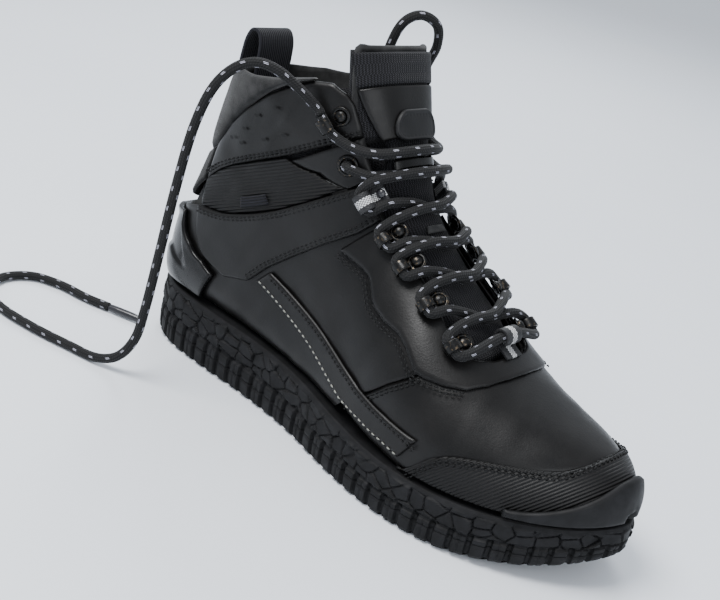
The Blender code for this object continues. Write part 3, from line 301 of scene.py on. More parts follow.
def spaced(points, count):
    """count + 1 points evenly spaced along the curve on the skin."""
    dense, s = length_share(np.asarray(points, float))
    at = np.linspace(0, s[-1], count + 1)
    return np.stack([np.interp(at, s, dense[:, k]) for k in (0, 1)], 1)


def boundary(*segments):
    """Joins (points, count) segments that meet end to end."""
    joined = [spaced(points, count) for points, count in segments]
    return np.vstack([joined[0]] + [part[1:] for part in joined[1:]])


def coons(top, low, left, right):
    """A grid of (u, q) between four boundary curves; rows run from left to right, columns from top to low."""
    rows, columns = len(top), len(left)
    a = np.linspace(0, 1, rows)[:, None, None]
    b = np.linspace(0, 1, columns)[None, :, None]
    across = (1 - b) * top[:, None] + b * low[:, None]
    along = (1 - a) * left[None] + a * right[None]
    corners = (
        (1 - a) * (1 - b) * top[0] + a * (1 - b) * top[-1] + (1 - a) * b * low[0] + a * b * low[-1]
    )
    return across + along - corners


def shrink(grid, gap):
    """Pulls the outermost rows and columns of a (u, q) grid in by gap millimetres."""
    grid = grid.copy()
    for axis in (0, 1):
        g = np.moveaxis(grid, axis, 0)
        for edge, inner in ((0, 1), (-1, -2)):
            space = np.linalg.norm(skin(*np.moveaxis(g[edge], -1, 0)) - skin(*np.moveaxis(g[inner], -1,
                0)), axis=-1)
            share = np.minimum(gap / np.maximum(space, 1e-6), 0.45)[..., None]
            g[edge] += (g[inner] - g[edge]) * share
    return grid


# ---------------------------------------------------------------- toe panels, found by rays from inside the toe
TOE_CENTRE = np.array([222.0, 0.0, 30.0])


def offset_skin_tree(out):
    points = (SKIN + NORMALS * out)[:, :-1]
    if out > 0:  # rounds off the narrow first section at the tip
        turns = np.radians([90, 60, 30])[:, None, None]
        nose = SKIN[:1, :-1] + NORMALS[:1,
            :-1] * out * np.cos(turns) + np.array([1.0, 0, 0]) * out * np.sin(turns)
        points = np.concatenate([nose, points])
    rows, columns = points.shape[:2]
    quads = [
        (i * columns + j, i * columns + (j + 1) % columns, (i + 1) * columns + (j + 1) % columns,
            (i + 1) * columns + j)
        for i in range(rows // 2)
        for j in range(columns)
    ]
    return BVHTree.FromPolygons([Vector(p) for p in points.reshape(-1, 3)], quads)


def toe_loop(start, lift=0.0):
    """The feather line from section start, round the toe, back to section start on the medial side."""
    us = np.linspace(start, TIP_U, 60)
    lateral = np.array([skin(u, -min(feather_q(u, -1), 0.999)) for u in us])
    medial = np.array([skin(u, min(feather_q(u, 1), 0.999)) for u in us])
    loop = np.vstack([lateral, medial[::-1]])
    loop[:, 2] = height(loop[:, 0], MIDSOLE_TOP) + FEATHER_LIFT + lift
    return loop


TONGUE_OUT, TONGUE_THICK = -3.0, 5.0
DENT_U, DENT_Q, DENT = (13.3, 14.3), 0.080, 6.2  # where the lace presses the tongue's sides in, and how far


def ramp(x, start, end):
    t = np.clip((x - start) / (end - start), 0, 1)
    return t * t * (3 - 2 * t)


def tongue_out(u, q):
    """The tongue's outer face, pressed in beside the eyelets where the lace runs behind the upper."""
    along = ramp(u, DENT_U[0] - 0.5, DENT_U[0]) * (1 - ramp(u, DENT_U[1], DENT_U[1] + 0.5))
    return TONGUE_OUT - DENT * along * ramp(np.abs(q), DENT_Q, DENT_Q + 0.03)


def frame_at(u, q, out=0.0):
    """Point, outward normal, direction up the instep, and direction away from the throat."""
    side = 1 if q >= 0 else -1
    place = skin(u, q, out)
    up = skin(u + 0.15, q, out) - skin(u - 0.15, q, out)
    away = skin(u, q + 0.01 * side, out) - skin(u, q - 0.01 * side, out)
    normal = lookup(NORMALS, u, q)
    normal = normal / np.linalg.norm(normal)
    up = up - normal * up.dot(normal)
    up = up / np.linalg.norm(up)
    away = away - normal * away.dot(normal) - up * away.dot(up)
    return place, normal, up, away / np.linalg.norm(away)


LACE_CLEARANCE = 0.55
HOOK_THICK, HOOK_WIDTH, HOOK_GAP = 1.1, 5.2, 0.35


def tunnel_rise(thick):
    """How far a loop's lace centre stands above the surface that the loop is fixed to."""
    return HOOK_GAP + thick + LACE_CLEARANCE + LACE_R


STAY_TOP, PANEL_TOP = OVERLAY[0], MAIN[0]
HOOKS = [(7.43, 0.214), (8.62, 0.208), (9.66, 0.200), (10.50, 0.190)]  # tunnels, from the toe up
WEB_LOOP = (11.86, 0.176)
EYELET = (13.83, 0.193)
TOP_HOOK = (15.75, 0.262)
WEB_THICK = 1.4
EYELET_HOLE = 4.3
MIDDLE_DROP = 0.30  # a straight strand crosses the tongue this much lower, in u, than its ends
KEEPER = (6.97, 12.0)  # the bottom loop: its place in u, and its width


def tunnel(u, q, surface_out, thick, axis=None, half=4.9):
    """Three points straight through a loop, in the direction of travel."""
    place, normal, up, away = frame_at(u, q, surface_out)
    axis = up if axis is None else (axis[0] * up + axis[1] * away) / np.hypot(*axis)
    centre = place + normal * tunnel_rise(thick)
    return [centre - axis * half, centre, centre + axis * half]


def crossing(start, end, side, over, floor):
    """Points from a loop on one side over the throat to the next loop on the other side."""
    found = []
    outs = (5.8, 6.1, 6.2, 6.1, 5.8) if over else (4.7, 1.6, 0.2, 1.6, 4.7)
    for f, out in zip((0.74, 0.40, 0.0, -0.40, -0.74), outs):
        share = (0.74 - f) / 1.48
        u = start[0] + (end[0] - start[0]) * (0.12 + 0.76 * share) - MIDDLE_DROP * (1 - abs(f) / 0.74)
        q = side * (start[1] * f if f > 0 else end[1] * f)
        found.append(skin(u, q, out + floor))
    return found


def strand(side):
    """Half the lace, from the middle of the bottom loop up to the top hook; side is where it starts."""
    centre, normal, _, away = frame_at(KEEPER[0], 0.0, STAY_TOP)
    centre = centre + normal * tunnel_rise(WEB_THICK)
    points = [centre + away * side * (KEEPER[1] / 2 + 2.2), skin(7.00, side * 0.175, 6.8)]
    stops = [(u, q, STAY_TOP, HOOK_THICK) for u, q in HOOKS] + [(*WEB_LOOP, STAY_TOP, WEB_THICK)]
    here = side
    for k, (u, q, out, thick) in enumerate(stops):
        points += tunnel(u, here * q, out, thick)
        if k + 1 < len(stops):
            ends = (u + 0.27, q), (stops[k + 1][0] - 0.27, stops[k + 1][1])
            points += crossing(*ends, here, here < 0, 0.0)
            here = -here
    high = here < 0  # the strand that leaves the lateral side lies on top
    to_eyelet = [(12.56, 0.138, 6.0, 5.2), (12.36, 0.065, 6.3, 1.9), (12.26, 0.0, 6.5, 0.4),
        (12.40, -0.07, 5.8, 1.9),
                 (12.85, -0.135, 4.3, 3.9), (13.45, -0.170, 4.0, 3.9)]
    points += [skin(u, here * q, over if high else under) for u, q, over, under in to_eyelet]
    here = -here
    points += [skin(EYELET[0], here * EYELET[1], out) for out in (3.2, -2.6)]
    points += [skin(13.92, here * 0.180, -5.0), skin(13.86, here * 0.145, -5.2),
        skin(13.72, here * 0.110, -2.2)]
    to_hook = [(13.58, 0.060, 2.2, -0.2), (13.55, 0.0, 5.4, -0.1), (13.62, -0.060, 5.9, 0.7),
        (13.95, -0.120, 5.0, 2.9),
               (14.60, -0.180, 3.7, 3.4)]
    points += [skin(u, here * q, over if high else under) for u, q, over, under in to_hook]
    here = -here
    points += tunnel(TOP_HOOK[0], here * TOP_HOOK[1], PANEL_TOP, HOOK_THICK, TOP_AXIS)
    return np.array(points)


TOP_AXIS = (0.70, 0.71)  # the lace's way through the top hook: up the collar, and away from the throat
STRANDS = {side: strand(side) for side in (-1, 1)}

ENDS = {int(np.sign(STRANDS[side][-1][1])): STRANDS[side][-2:] for side in (-1, 1)}


def from_hook(side):
    before, last = ENDS[side]
    heading = (last - before) / np.linalg.norm(last - before)
    return [last + heading * 0.35, last + heading * 6.0]


GROUND = LACE_R + 0.15
AGLET = 22.0
lateral = from_hook(-1) + [
    (86, -55, 176), (74, -64, 176), (64, -71, 163), (59, -75, 140), (57, -77, 105), (56, -78, 70),
        (55, -79, 40),
    (53, -80, 22), (46, -83, 9), (34, -87, 3.2), (18, -91, GROUND), (-8, -97, GROUND), (-34, -99, GROUND),
    (-54, -92, GROUND), (-64, -76, GROUND), (-60, -59, GROUND), (-45, -50, GROUND), (-26, -46, GROUND),
    (-12, -41, GROUND),
]
medial = from_hook(1) + [
    (93, 49, 178), (97, 48, 192), (98, 42, 203), (94, 32, 207), (89, 25, 201), (86, 23, 186),
        (86, 22.5, 165),
    (86, 22.3, 140), (86, 22, 115), (86, 22, 90), (86, 22, 75),
]


def to_part(points):
    """Drawing millimetres to the part's frame in metres."""
    return (np.asarray(points, float) - np.array([ORIGIN_X, ORIGIN_Y, 0.0])) * MM


# ---------------------------------------------------------------- camera
def make_camera():
    """The viewing angle: azimuth and elevation round the boot, roll, distance and shift, in millimetres."""
    azimuth, elevation, roll = math.radians(35.44), math.radians(22.28), math.radians(15.19)
    target, shift, distance = np.array([150.0, 0.0, 85.0]), (21.84, 6.63), 648.3
    back = np.array([math.sin(azimuth) * math.cos(elevation), -math.cos(azimuth) * math.cos(elevation),
                     math.sin(elevation)])
    right = np.cross([0, 0, 1], back)
    right /= np.linalg.norm(right)
    up = np.cross(back, right)
    turned = np.array([math.cos(roll) * right + math.sin(roll) * up,
        math.cos(roll) * up - math.sin(roll) * right, back])
    eye = target - np.array([*shift, -distance]) @ turned
    data = bpy.data.cameras.new("camera")
    data.lens = 64.85
    camera = bpy.data.objects.new("camera", data)
    bpy.context.scene.collection.objects.link(camera)
    camera.matrix_world = Matrix.Translation(Vector(to_part(eye))) @ Matrix(turned.T.tolist()).to_4x4()
    bpy.context.scene.camera = camera


make_camera()


# ---------------------------------------------------------------- materials
class Shader:
    """A short way to write a node tree."""

    def __init__(self, name):
        self.material = bpy.data.materials.new(name)
        self.material.use_nodes = True
        self.tree = self.material.node_tree
        self.base = self.tree.nodes["Principled BSDF"]

    def put(self, socket, value):
        if isinstance(value, bpy.types.NodeSocket):
            self.tree.links.new(value, socket)
        elif value is not None:
            socket.default_value = value

    def node(self, kind, out=0, inputs=(), **settings):
        made = self.tree.nodes.new(kind)
        for key, value in settings.items():
            setattr(made, key, value)
        for key, value in dict(inputs).items():
            self.put(made.inputs[key], value)
        return made.outputs[out]

    def math(self, operation, a, b=None, c=None, clamp=False):
        inputs = {0: a, 1: b} if c is None else {0: a, 1: b, 2: c}
        return self.node("ShaderNodeMath", 0, inputs, operation=operation, use_clamp=clamp)

    def place(self, uv=False):
        return self.node("ShaderNodeTexCoord", 2 if uv else 3)

    def axes(self, uv=False):
        """x, y, z in millimetres; on a UV map x runs along the panel and y across it."""
        split = self.tree.nodes.new("ShaderNodeSeparateXYZ")
        self.put(split.inputs[0], self.place(uv))
        return [self.math("MULTIPLY", split.outputs[k], 1000.0 if not uv else 1.0) for k in range(3)]

    def noise(self, scale, detail=3.0, roughness=0.55, where=None, colour=False):
        """Noise whose features are about scale millimetres wide."""
        return self.node("ShaderNodeTexNoise", 1 if colour else 0, {
            "Vector": where or self.place(), "Scale": 1000.0 / scale, "Detail": detail,
                "Roughness": roughness})

    def voronoi(self, scale, feature="F1", randomness=1.0):
        return self.node("ShaderNodeTexVoronoi", 0, {
            "Vector": self.place(), "Scale": 1000.0 / scale, "Randomness": randomness}, feature=feature)

    def ramp(self, value, low, high, to_low=0.0, to_high=1.0):
        return self.node("ShaderNodeMapRange", 0, {0: value, 1: low, 2: high, 3: to_low, 4: to_high})

    def mix(self, share, a, b):
        made = self.tree.nodes.new("ShaderNodeMix")
        made.data_type = "RGBA"
        for k, value in ((0, share), (6, a), (7, b)):
            self.put(made.inputs[k], value)
        return made.outputs[2]

    def bump(self, height, millimetres, strength=1.0):
        before = self.base.inputs["Normal"].links
        normal = self.node("ShaderNodeBump", 0,
            {"Strength": strength, "Distance": millimetres * MM, "Height": height})
        if before:
            self.put(normal.node.inputs["Normal"], before[0].from_socket)
        self.put(self.base.inputs["Normal"], normal)

    def finish(self, colour, roughness, metallic=0.0, specular=0.5, coat=0.0, sheen=0.0):
        for key, value in (("Base Color", colour), ("Roughness", roughness)):
            self.put(self.base.inputs[key], value)
        for key, value in (("Metallic", metallic), ("Specular IOR Level", specular), ("Coat Weight", coat),
                           ("Sheen Weight", sheen)):
            self.base.inputs[key].default_value = value
        if coat:
            self.base.inputs["Coat Roughness"].default_value = 0.25
        return self.material


def grey(value, blue=1.0, red=1.0):
    return (value * red, value, value * blue, 1.0)


def leather(name, dark, light, low, high, ribs=None):
    s = Shader(name)
    patches = s.noise(38, 4.0)
    pores = s.voronoi(0.9)
    creases = s.noise(2.6, 5.0, 0.65)
    colour = s.mix(s.ramp(patches, 0.35, 0.7), grey(dark, 1.0, 1.06), grey(light, 0.95, 1.10))
    rough = s.math("ADD", s.ramp(s.noise(16, 4.0), 0.3, 0.7, low, high),
        s.ramp(creases, 0.3, 0.7, -0.03, 0.03))
    s.bump(creases, 0.10, 0.5)
    s.bump(pores, 0.07, 0.35)
    if ribs:
        slope, period, depth = ribs
        x, _, z = s.axes()
        across = s.math("DIVIDE", s.math("SUBTRACT", z, s.math("MULTIPLY", x, slope)),
            math.hypot(1, slope) * period)
        wave = s.math("SINE", s.math("MULTIPLY", across, 2 * math.pi))
        s.bump(s.ramp(wave, -0.9, 0.9), depth, 0.9)
        # Painted shade: the rib troughs are darkened, down to a third of the dark tone, where shade falls in
        # the grooves.
        colour = s.mix(s.ramp(wave, -1.0, 0.2), grey(dark * 0.35), colour)
    return s.finish(colour, rough, specular=0.24)


def rubber(name, value, low, high, depth):
    s = Shader(name)
    dust = s.noise(9, 6.0, 0.7)
    colour = s.mix(s.ramp(dust, 0.42, 0.68), grey(value, 1.08), grey(value * 2.2, 1.12))
    s.bump(s.noise(0.9, 4.0, 0.7), depth, 0.6)
    return s.finish(colour, s.ramp(s.noise(5, 5.0), 0.3, 0.7, low, high), specular=0.18)


def mesh_cloth(name, base, thread, pitch, chevron=0.0):
    """Open mesh: holes between crossing threads, on the UV map; chevron bends the rows into a zigzag."""
    s = Shader(name)
    x, y, _ = s.axes(True)
    if chevron:
        bend = s.math("PINGPONG", x, chevron)
        y = s.math("ADD", y, s.math("MULTIPLY", bend, 0.8))
    a = s.math("SINE", s.math("MULTIPLY", x, 2 * math.pi / pitch))
    b = s.math("SINE", s.math("MULTIPLY", y, 2 * math.pi / (pitch * 0.8)))
    weave = s.math("MULTIPLY", a, b)
    colour = s.mix(s.ramp(weave, -0.3, 0.55), grey(base, 1.25), grey(thread, 1.2))
    s.bump(s.ramp(weave, -1, 1), 0.45, 0.9)
    s.bump(s.noise(0.3, 2.0), 0.06, 0.5)
    return s.finish(colour, s.ramp(weave, -1, 1, 0.9, 0.62), specular=0.18, sheen=0.05)


def nubuck(name, value):
    s = Shader(name)
    nap = s.noise(0.5, 5.0, 0.75)
    worn = s.noise(6, 4.0)
    colour = s.mix(s.ramp(worn, 0.3, 0.72), grey(value * 0.55, 1.02), grey(value * 1.7, 1.0))
    s.bump(nap, 0.22, 0.8)
    return s.finish(colour, s.ramp(nap, 0.2, 0.8, 0.85, 1.0), specular=0.1, sheen=0.12)


def webbing(name, value, rib=1.4):
    s = Shader(name)
    x, y, _ = s.axes(True)
    ribs = s.math("SINE", s.math("MULTIPLY", y, 2 * math.pi / rib))
    threads = s.math("SINE", s.math("MULTIPLY", x, 2 * math.pi / 0.7))
    # Painted shade and highlight: the rib troughs are coloured darker and the crests lighter, following the rib
    # relief.
    colour = s.mix(s.ramp(ribs, -0.6, 0.8), grey(value * 0.4, 1.3), grey(value * 1.5, 1.5))
    s.bump(s.ramp(ribs, -1, 1), 0.35, 0.9)
    s.bump(s.ramp(threads, -1, 1), 0.08, 0.7)
    return s.finish(colour, 0.8, specular=0.18, sheen=0.05)


def lace_cloth():
    """Braided cord: slanted ribs and pale flecks in four rows; UV x is mm along, y is turns."""
    s = Shader("lace_braid")
    x, y, _ = s.axes(True)
    turn = s.math("MULTIPLY", y, 2 * math.pi)
    lines = s.math("SINE", s.math("MULTIPLY", y, 2 * math.pi * 12))
    slant = s.math("SINE", s.math("ADD", s.math("MULTIPLY", x, 2 * math.pi / 1.3), s.math("MULTIPLY",
        turn, 6.0)))
    braid = s.math("MULTIPLY", s.ramp(lines, -1, 1, 0.3, 1.0), s.ramp(slant, -1, 1, 0.35, 1.0))
    sector = s.math("MULTIPLY", y, 4.0)
    row = s.math("FRACT", sector)
    step = s.math("MULTIPLY", s.math("FLOOR", sector), 0.37)
    along = s.math("FRACT", s.math("ADD", s.math("DIVIDE", s.math("SUBTRACT", x, s.math("MULTIPLY", row,
        1.6)), 10.5), step))
    on_row = s.math("LESS_THAN", s.math("ABSOLUTE", s.math("SUBTRACT", row, 0.5)), 0.12)
    dash = s.math("MULTIPLY", s.math("LESS_THAN", along, 0.22), on_row)
    split = s.math("GREATER_THAN", s.math("ABSOLUTE", s.math("SUBTRACT", row, 0.5)), 0.035)
    dash = s.math("MULTIPLY", dash, split)
    # Painted shade: the braid's grooves are coloured darker than its raised strands; the pale flecks are the
    # cord's own colour.
    black = s.mix(braid, grey(0.0025), grey(0.013, 1.05))
    colour = s.mix(dash, black, grey(0.33, 1.15))
    s.bump(braid, 0.35, 0.9)
    return s.finish(colour, 0.72, specular=0.2, sheen=0.04)


def metal(name):
    s = Shader(name)
    worn = s.ramp(s.noise(1.6, 5.0, 0.7), 0.56, 0.70)
    colour = s.mix(worn, grey(0.018), (0.16, 0.12, 0.075, 1.0))
    s.bump(s.noise(0.6, 3.0), 0.03, 0.4)
    return s.finish(colour, s.ramp(s.noise(2, 4.0), 0.3, 0.7, 0.22, 0.42), metallic=0.9)


def reflective(name):
    """Webbing with a pale chequered stripe down its middle; UV in millimetres, centred on the stripe."""
    s = Shader(name)
    x, y, _ = s.axes(True)
    checks = s.math("MULTIPLY", s.math("SINE", s.math("MULTIPLY", x, 2 * math.pi / 1.3)),
                    s.math("SINE", s.math("MULTIPLY", y, 2 * math.pi / 1.3)))
    stripe = s.math("LESS_THAN", s.math("ABSOLUTE", y), 1.9)
    pale = s.math("MULTIPLY", stripe, s.ramp(checks, -0.15, 0.2, 0.12, 1.0))
    s.bump(s.ramp(checks, -1, 1), 0.2, 0.8)
    return s.finish(s.mix(pale, grey(0.010, 1.1), grey(0.62)), 0.6, specular=0.4)


def plain(name, value, roughness, coat=0.0, blue=1.05, depth=0.04, specular=0.22):
    s = Shader(name)
    s.bump(s.noise(1.2, 4.0), depth, 0.5)
    colour = s.mix(s.ramp(s.noise(12, 4.0), 0.35, 0.65), grey(value, blue), grey(value * 1.6, blue))
    return s.finish(colour, s.ramp(s.noise(6, 4.0), 0.3, 0.7, roughness - 0.05, roughness + 0.06),
        coat=coat, specular=specular)


LOOKS = {
    "leather": leather("smooth_leather", 0.0022, 0.0050, 0.32, 0.46),
    "ribbed": leather("ribbed_leather", 0.0035, 0.0060, 0.46, 0.55, (1.05, 1.55, 0.42)),
    "insert": leather("ribbed_insert_leather", 0.0030, 0.0055, 0.48, 0.58, (0.50, 1.7, 0.40)),
    "gloss": leather("fold_leather", 0.0030, 0.0050, 0.24, 0.32),
    "rubber": rubber("sole_rubber", 0.0042, 0.55, 0.75, 0.16),
    "toe_rubber": rubber("toe_rubber", 0.0040, 0.48, 0.60, 0.05),
    "tpu": plain("heel_tpu", 0.003, 0.24),
    "bead": plain("dark_bead", 0.012, 0.16, coat=0.5, blue=1.2),
    "lining": mesh_cloth("lining_mesh", 0.002, 0.012, 1.8),
    "mesh": mesh_cloth("tongue_mesh", 0.0015, 0.016, 2.0, 5.0),
    "nubuck": nubuck("collar_nubuck", 0.018),
    "panel_nubuck": nubuck("achilles_nubuck", 0.006),
    "grey_nubuck": nubuck("tab_nubuck", 0.035),
    "webbing": webbing("loop_webbing", 0.006),
    "lace": lace_cloth(), "metal": metal("gunmetal"), "reflective": reflective("reflective_webbing"),
    "badge": plain("badge_rubber", 0.008, 0.5, depth=0.08),
    "thread": plain("black_thread", 0.0022, 0.55), "pale_thread": plain("pale_thread", 0.16, 0.6, blue=0.9),
    "board": plain("fibre_board", 0.012, 0.8, blue=0.9), "steel": metal("shank_steel"),
    "insole": mesh_cloth("footbed_cloth", 0.010, 0.022, 1.2),
}


# ---------------------------------------------------------------- making pieces
def piece(name, points, faces, look, body=BOOT, replaces=(), uv=None, smooth_faces=True):
    mesh = bpy.data.meshes.new(name)
    mesh.from_pydata(to_part(points).tolist(), [], faces)
    if smooth_faces:
        mesh.shade_smooth()
    if uv is not None:
        layer = mesh.uv_layers.new(name="millimetres")
        corner = np.zeros(len(mesh.loops), dtype=np.int64)
        mesh.loops.foreach_get("vertex_index", corner)
        layer.data.foreach_set("uv", np.asarray(uv, float)[corner].ravel())
    obj = bpy.data.objects.new(name, mesh)
    bpy.context.scene.collection.objects.link(obj)
    mesh.materials.append(LOOKS[look])
    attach(obj, body)
    if replaces:
        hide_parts(*replaces)
    return obj


def lengths(grid):
    """UV in millimetres: running length along rows and along columns of a grid of points."""
    along = np.concatenate([[0], np.cumsum(np.linalg.norm(np.diff(grid, axis=0), axis=2).mean(axis=1))])
    across = np.concatenate(
        [np.zeros((grid.shape[0], 1)), np.cumsum(np.linalg.norm(np.diff(grid, axis=1), axis=2), axis=1)],
            axis=1)
    across = across - across.mean(axis=1, keepdims=True)
    return np.stack([np.broadcast_to(along[:, None], across.shape), across], 2)


def edge_fall(grid, reach=1.3, fall=0.75):
    """How far each point of a panel drops towards its own cut edge, in millimetres."""
    total = np.full(grid.shape[:2], 1e6)
    for axis in (0, 1):
        g = np.moveaxis(grid, axis, 0)
        run = np.cumsum(np.concatenate([np.zeros((1, g.shape[1])),
            np.linalg.norm(np.diff(g, axis=0), axis=2)]), axis=0)
        near = np.minimum(run, run[-1:] - run)
        total = np.minimum(total, np.moveaxis(near, 0, axis))
    return fall * np.clip(1 - total / reach, 0, 1) ** 2


def sheet_solid(name, outer, inner, look, body=BOOT, replaces=(), uv=None):
    """A closed solid between two grids of points, outer facing out."""
    rows, columns = outer.shape[:2]
    size = rows * columns
    index = np.arange(size).reshape(rows, columns)
    a, b, c, d = index[:-1, :-1], index[:-1, 1:], index[1:, 1:], index[1:, :-1]
    top = np.stack([a, b, c, d], -1).reshape(-1, 4)
    faces = [top, top[:, ::-1] + size]
    rim = np.concatenate([index[0, :], index[1:, -1], index[-1, -2::-1], index[-2:0:-1, 0]])
    after = np.roll(rim, -1)
    faces.append(np.stack([after, rim, rim + size, after + size], 1))
    faces = np.vstack(faces)
    i, j = rows // 2, columns // 2
    facing = np.cross(outer[i, j] - outer[i - 1, j], outer[i, j] - outer[i, j - 1])
    if np.dot(facing, outer[i, j] - inner[i, j]) > 0:
        faces = faces[:, ::-1]
    uv = lengths(outer) if uv is None else uv
    points = np.vstack([outer.reshape(-1, 3), inner.reshape(-1, 3)])
    return piece(name, points, faces.tolist(), look, body, replaces, np.vstack([uv.reshape(-1, 2)] * 2))


def skin_panel(name, uq, layer, look, body=BOOT, replaces=(), swell=0.0, wrinkle=0.0, gap=0.15, uv=None):
    """A panel on the skin from a (u, q) grid: outer face at layer[0], layer[1] thick, raised by swell."""
    uq = shrink(uq, gap)
    flat = skin(uq[..., 0], uq[..., 1], np.full(uq.shape[:2], layer[0]))
    out = layer[0] - edge_fall(flat)
    out = out + swell
    if wrinkle:
        out = out + wrinkle * soft_noise(flat, 26.0)
    outer = skin(uq[..., 0], uq[..., 1], out)
    inner = skin(uq[..., 0], uq[..., 1], np.full(uq.shape[:2], layer[0] - layer[1]))
    return sheet_solid(name, outer, inner, look, body, replaces, uv)


def soft_noise(points, scale):
    """Smooth bumps between about -1 and 1, from a few crossed waves."""
    total = np.zeros(points.shape[:-1])
    for k, (a, b, c) in enumerate(((1, 0.3, 0.7), (-0.5, 1, 0.4), (0.6, -0.8, 1), (1.3, 0.9, -0.6))):
        wave = points @ (np.array([a, b, c]) * (1 + 0.37 * k) * 2 * math.pi / scale / 2)
        total += np.sin(wave + 1.7 * k + 0.8 * np.sin(wave * 0.61 + k))
    return total / 4


def fine(curve, count):
    return spaced(np.asarray(curve, float), count)


def between(a, b, steps):
    return np.linspace(a, b, steps + 1)


def ruled_grid(top, low, steps):
    return coons(top, low, between(top[0], low[0], steps), between(top[-1], low[-1], steps))


def tube(name, path, radius, look, body=BOOT, replaces=(), sides=12, step=1.5, straight=False):
    """A round tube with a UV map: x in millimetres along it, y in turns round it."""
    path = np.asarray(path, float)
    if not straight:
        path = smooth(path, 8)
    length = np.linalg.norm(np.diff(path, axis=0), axis=1).sum()
    path = resample(path, max(int(length / step), 2) + 1)
    along = np.gradient(path, axis=0)
    along /= np.linalg.norm(along, axis=1, keepdims=True)
    normal = np.cross(along[0], [0.31, 0.17, 0.93])
    radii = np.broadcast_to(radius, len(path)) if np.ndim(radius) == 0 else np.interp(
        np.linspace(0, 1, len(path)), np.linspace(0, 1, len(radius)), radius)
    angle = np.linspace(0, 2 * math.pi, sides + 1)
    rings = []
    for centre, direction, size in zip(path, along, radii):
        normal = normal - direction * normal.dot(direction)
        normal /= np.linalg.norm(normal)
        side = np.cross(direction, normal)
        rings.append(centre + size * (np.cos(angle)[:, None] * normal + np.sin(angle)[:, None] * side))
    rings = np.array(rings)
    run = np.concatenate([[0], np.cumsum(np.linalg.norm(np.diff(path, axis=0), axis=1))])
    uv = np.stack([np.broadcast_to(run[:, None], rings.shape[:2]),
                   np.broadcast_to(angle[None] / (2 * math.pi), rings.shape[:2])], 2)
    count = sides + 1
    index = np.arange(rings.shape[0] * count).reshape(-1, count)
    a, b, c, d = index[:-1, :-1], index[:-1, 1:], index[1:, 1:], index[1:, :-1]
    faces = np.stack([a, b, c, d], -1).reshape(-1, 4).tolist()
    faces += [index[0, :-1].tolist()[::-1], index[-1, :-1].tolist()]
    return piece(name, rings.reshape(-1, 3), faces, look, body, replaces, uv.reshape(-1, 2)), length


# ---------------------------------------------------------------- lace, made first
def aglet(name, end, before, node):
    heading = (np.array(end) - np.array(before)) / np.linalg.norm(np.array(end) - np.array(before))
    start = np.array(end) + heading * 0.35
    return tube(name, [start + heading * t for t in (0, 0.6, 6, 12, 20, AGLET)],
        [2.0, 2.25, 2.3, 2.3, 2.15, 1.6],
                "bead", replaces=(node,), step=1.0)[0]


def free_cord(word, points):
    path = smooth(np.array(points, float), 8)
    obj, length = tube("lace_free_" + word, path, LACE_R, "lace", replaces=("lace_end_" + word,), sides=14)
    tip = aglet("lace_tip_" + word, path[-1], path[-2], "aglet_" + word)


free_cord("lateral", lateral)
free_cord("medial", medial)
held = np.vstack([STRANDS[-1][::-1], STRANDS[1]])
tube("lace_laced", held, LACE_R, "lace", replaces=("lace_held",), sides=14)


# ---------------------------------------------------------------- sole
PERIMETER = 1500
GROOVE_PITCH, GROOVE_WIDTH, GROOVE_DEPTH = 9.2, 2.6, 1.9
PLATE = (10.5, 6.5)  # about how long and how high one crackled plate of the side wall is
BLOCK_TOP = 0.50  # share of the wall's height that the blocks take


def pulse(x, pitch, width, soft=0.5):
    """1 inside a groove of the given width that comes once in every pitch."""
    away = np.abs((x + pitch / 2) % pitch - pitch / 2)
    return 1 - ramp(away, width / 2 - soft, width / 2 + soft)


def plates(run, z, total, seed):
    """Height of an angular crackled surface: tilted cells with grooves between them."""
    random = np.random.default_rng(seed)
    across = int(round(total / PLATE[0]))
    pitch = total / across
    up = 8
    jitter = random.uniform(-0.42, 0.42, (across, up, 2))
    tilt = random.uniform(-0.14, 0.14, (across, up, 2))
    lift = random.uniform(-0.5, 0.5, (across, up))
    i, j = np.floor(run / pitch).astype(int), np.floor(z / PLATE[1]).astype(int)
    near = np.full(run.shape, 1e9)
    second, level = near.copy(), np.zeros(run.shape)
    for a in (-1, 0, 1):
        for b in (-1, 0, 1):
            ci, cj = i + a, np.clip(j + b, 0, up - 1)
            seat = jitter[ci % across, cj]
            dx = run - (ci + 0.5 + seat[..., 0]) * pitch
            dz = z - (j + b + 0.5 + seat[..., 1]) * PLATE[1]
            far = np.hypot(dx, dz * 1.2)
            slope = tilt[ci % across, cj]
            here = lift[ci % across, cj] + slope[..., 0] * dx + slope[..., 1] * dz
            closer = far < near
            second = np.where(closer, near, np.minimum(second, far))
            level = np.where(closer, here, level)
            near = np.where(closer, far, near)
    return level - 0.9 * (1 - ramp(second - near, 0.2, 1.3))


def sole_ring():
    ring = resample(OUTLINE, PERIMETER, closed=True)
    ahead = np.roll(ring, -1, axis=0) - np.roll(ring, 1, axis=0)
    ahead /= np.linalg.norm(ahead, axis=1, keepdims=True)
    outward = np.stack([ahead[:, 1], -ahead[:, 0]], 1)
    centre = np.array([140.0, 0.0])
    if np.sum((ring - centre) * outward) < 0:
        outward = -outward
    steps = np.linalg.norm(np.diff(np.vstack([ring, ring[:1]]), axis=0), axis=1)
    middle = np.array([np.mean(plan_edges(x, (1.0, 1.0))) for x in np.clip(ring[:, 0], 34, 262)])
    spine = np.stack([np.clip(ring[:, 0], 34, 262), middle], 1)
    return ring, outward, np.concatenate([[0], np.cumsum(steps)[:-1]]), steps.sum(), spine


RING, OUTWARD, RUN, AROUND, SPINE = sole_ring()


def lug_grooves(x):
    """How open the tread's cross channels are at each x."""
    open_ = np.zeros_like(x)
    for start in (18, 36, 54, 72, 90, 136, 155, 174, 193, 212, 231):
        open_ = np.maximum(open_, 1 - ramp(np.abs(x - start - 2.25), 1.9, 2.6))
    return open_


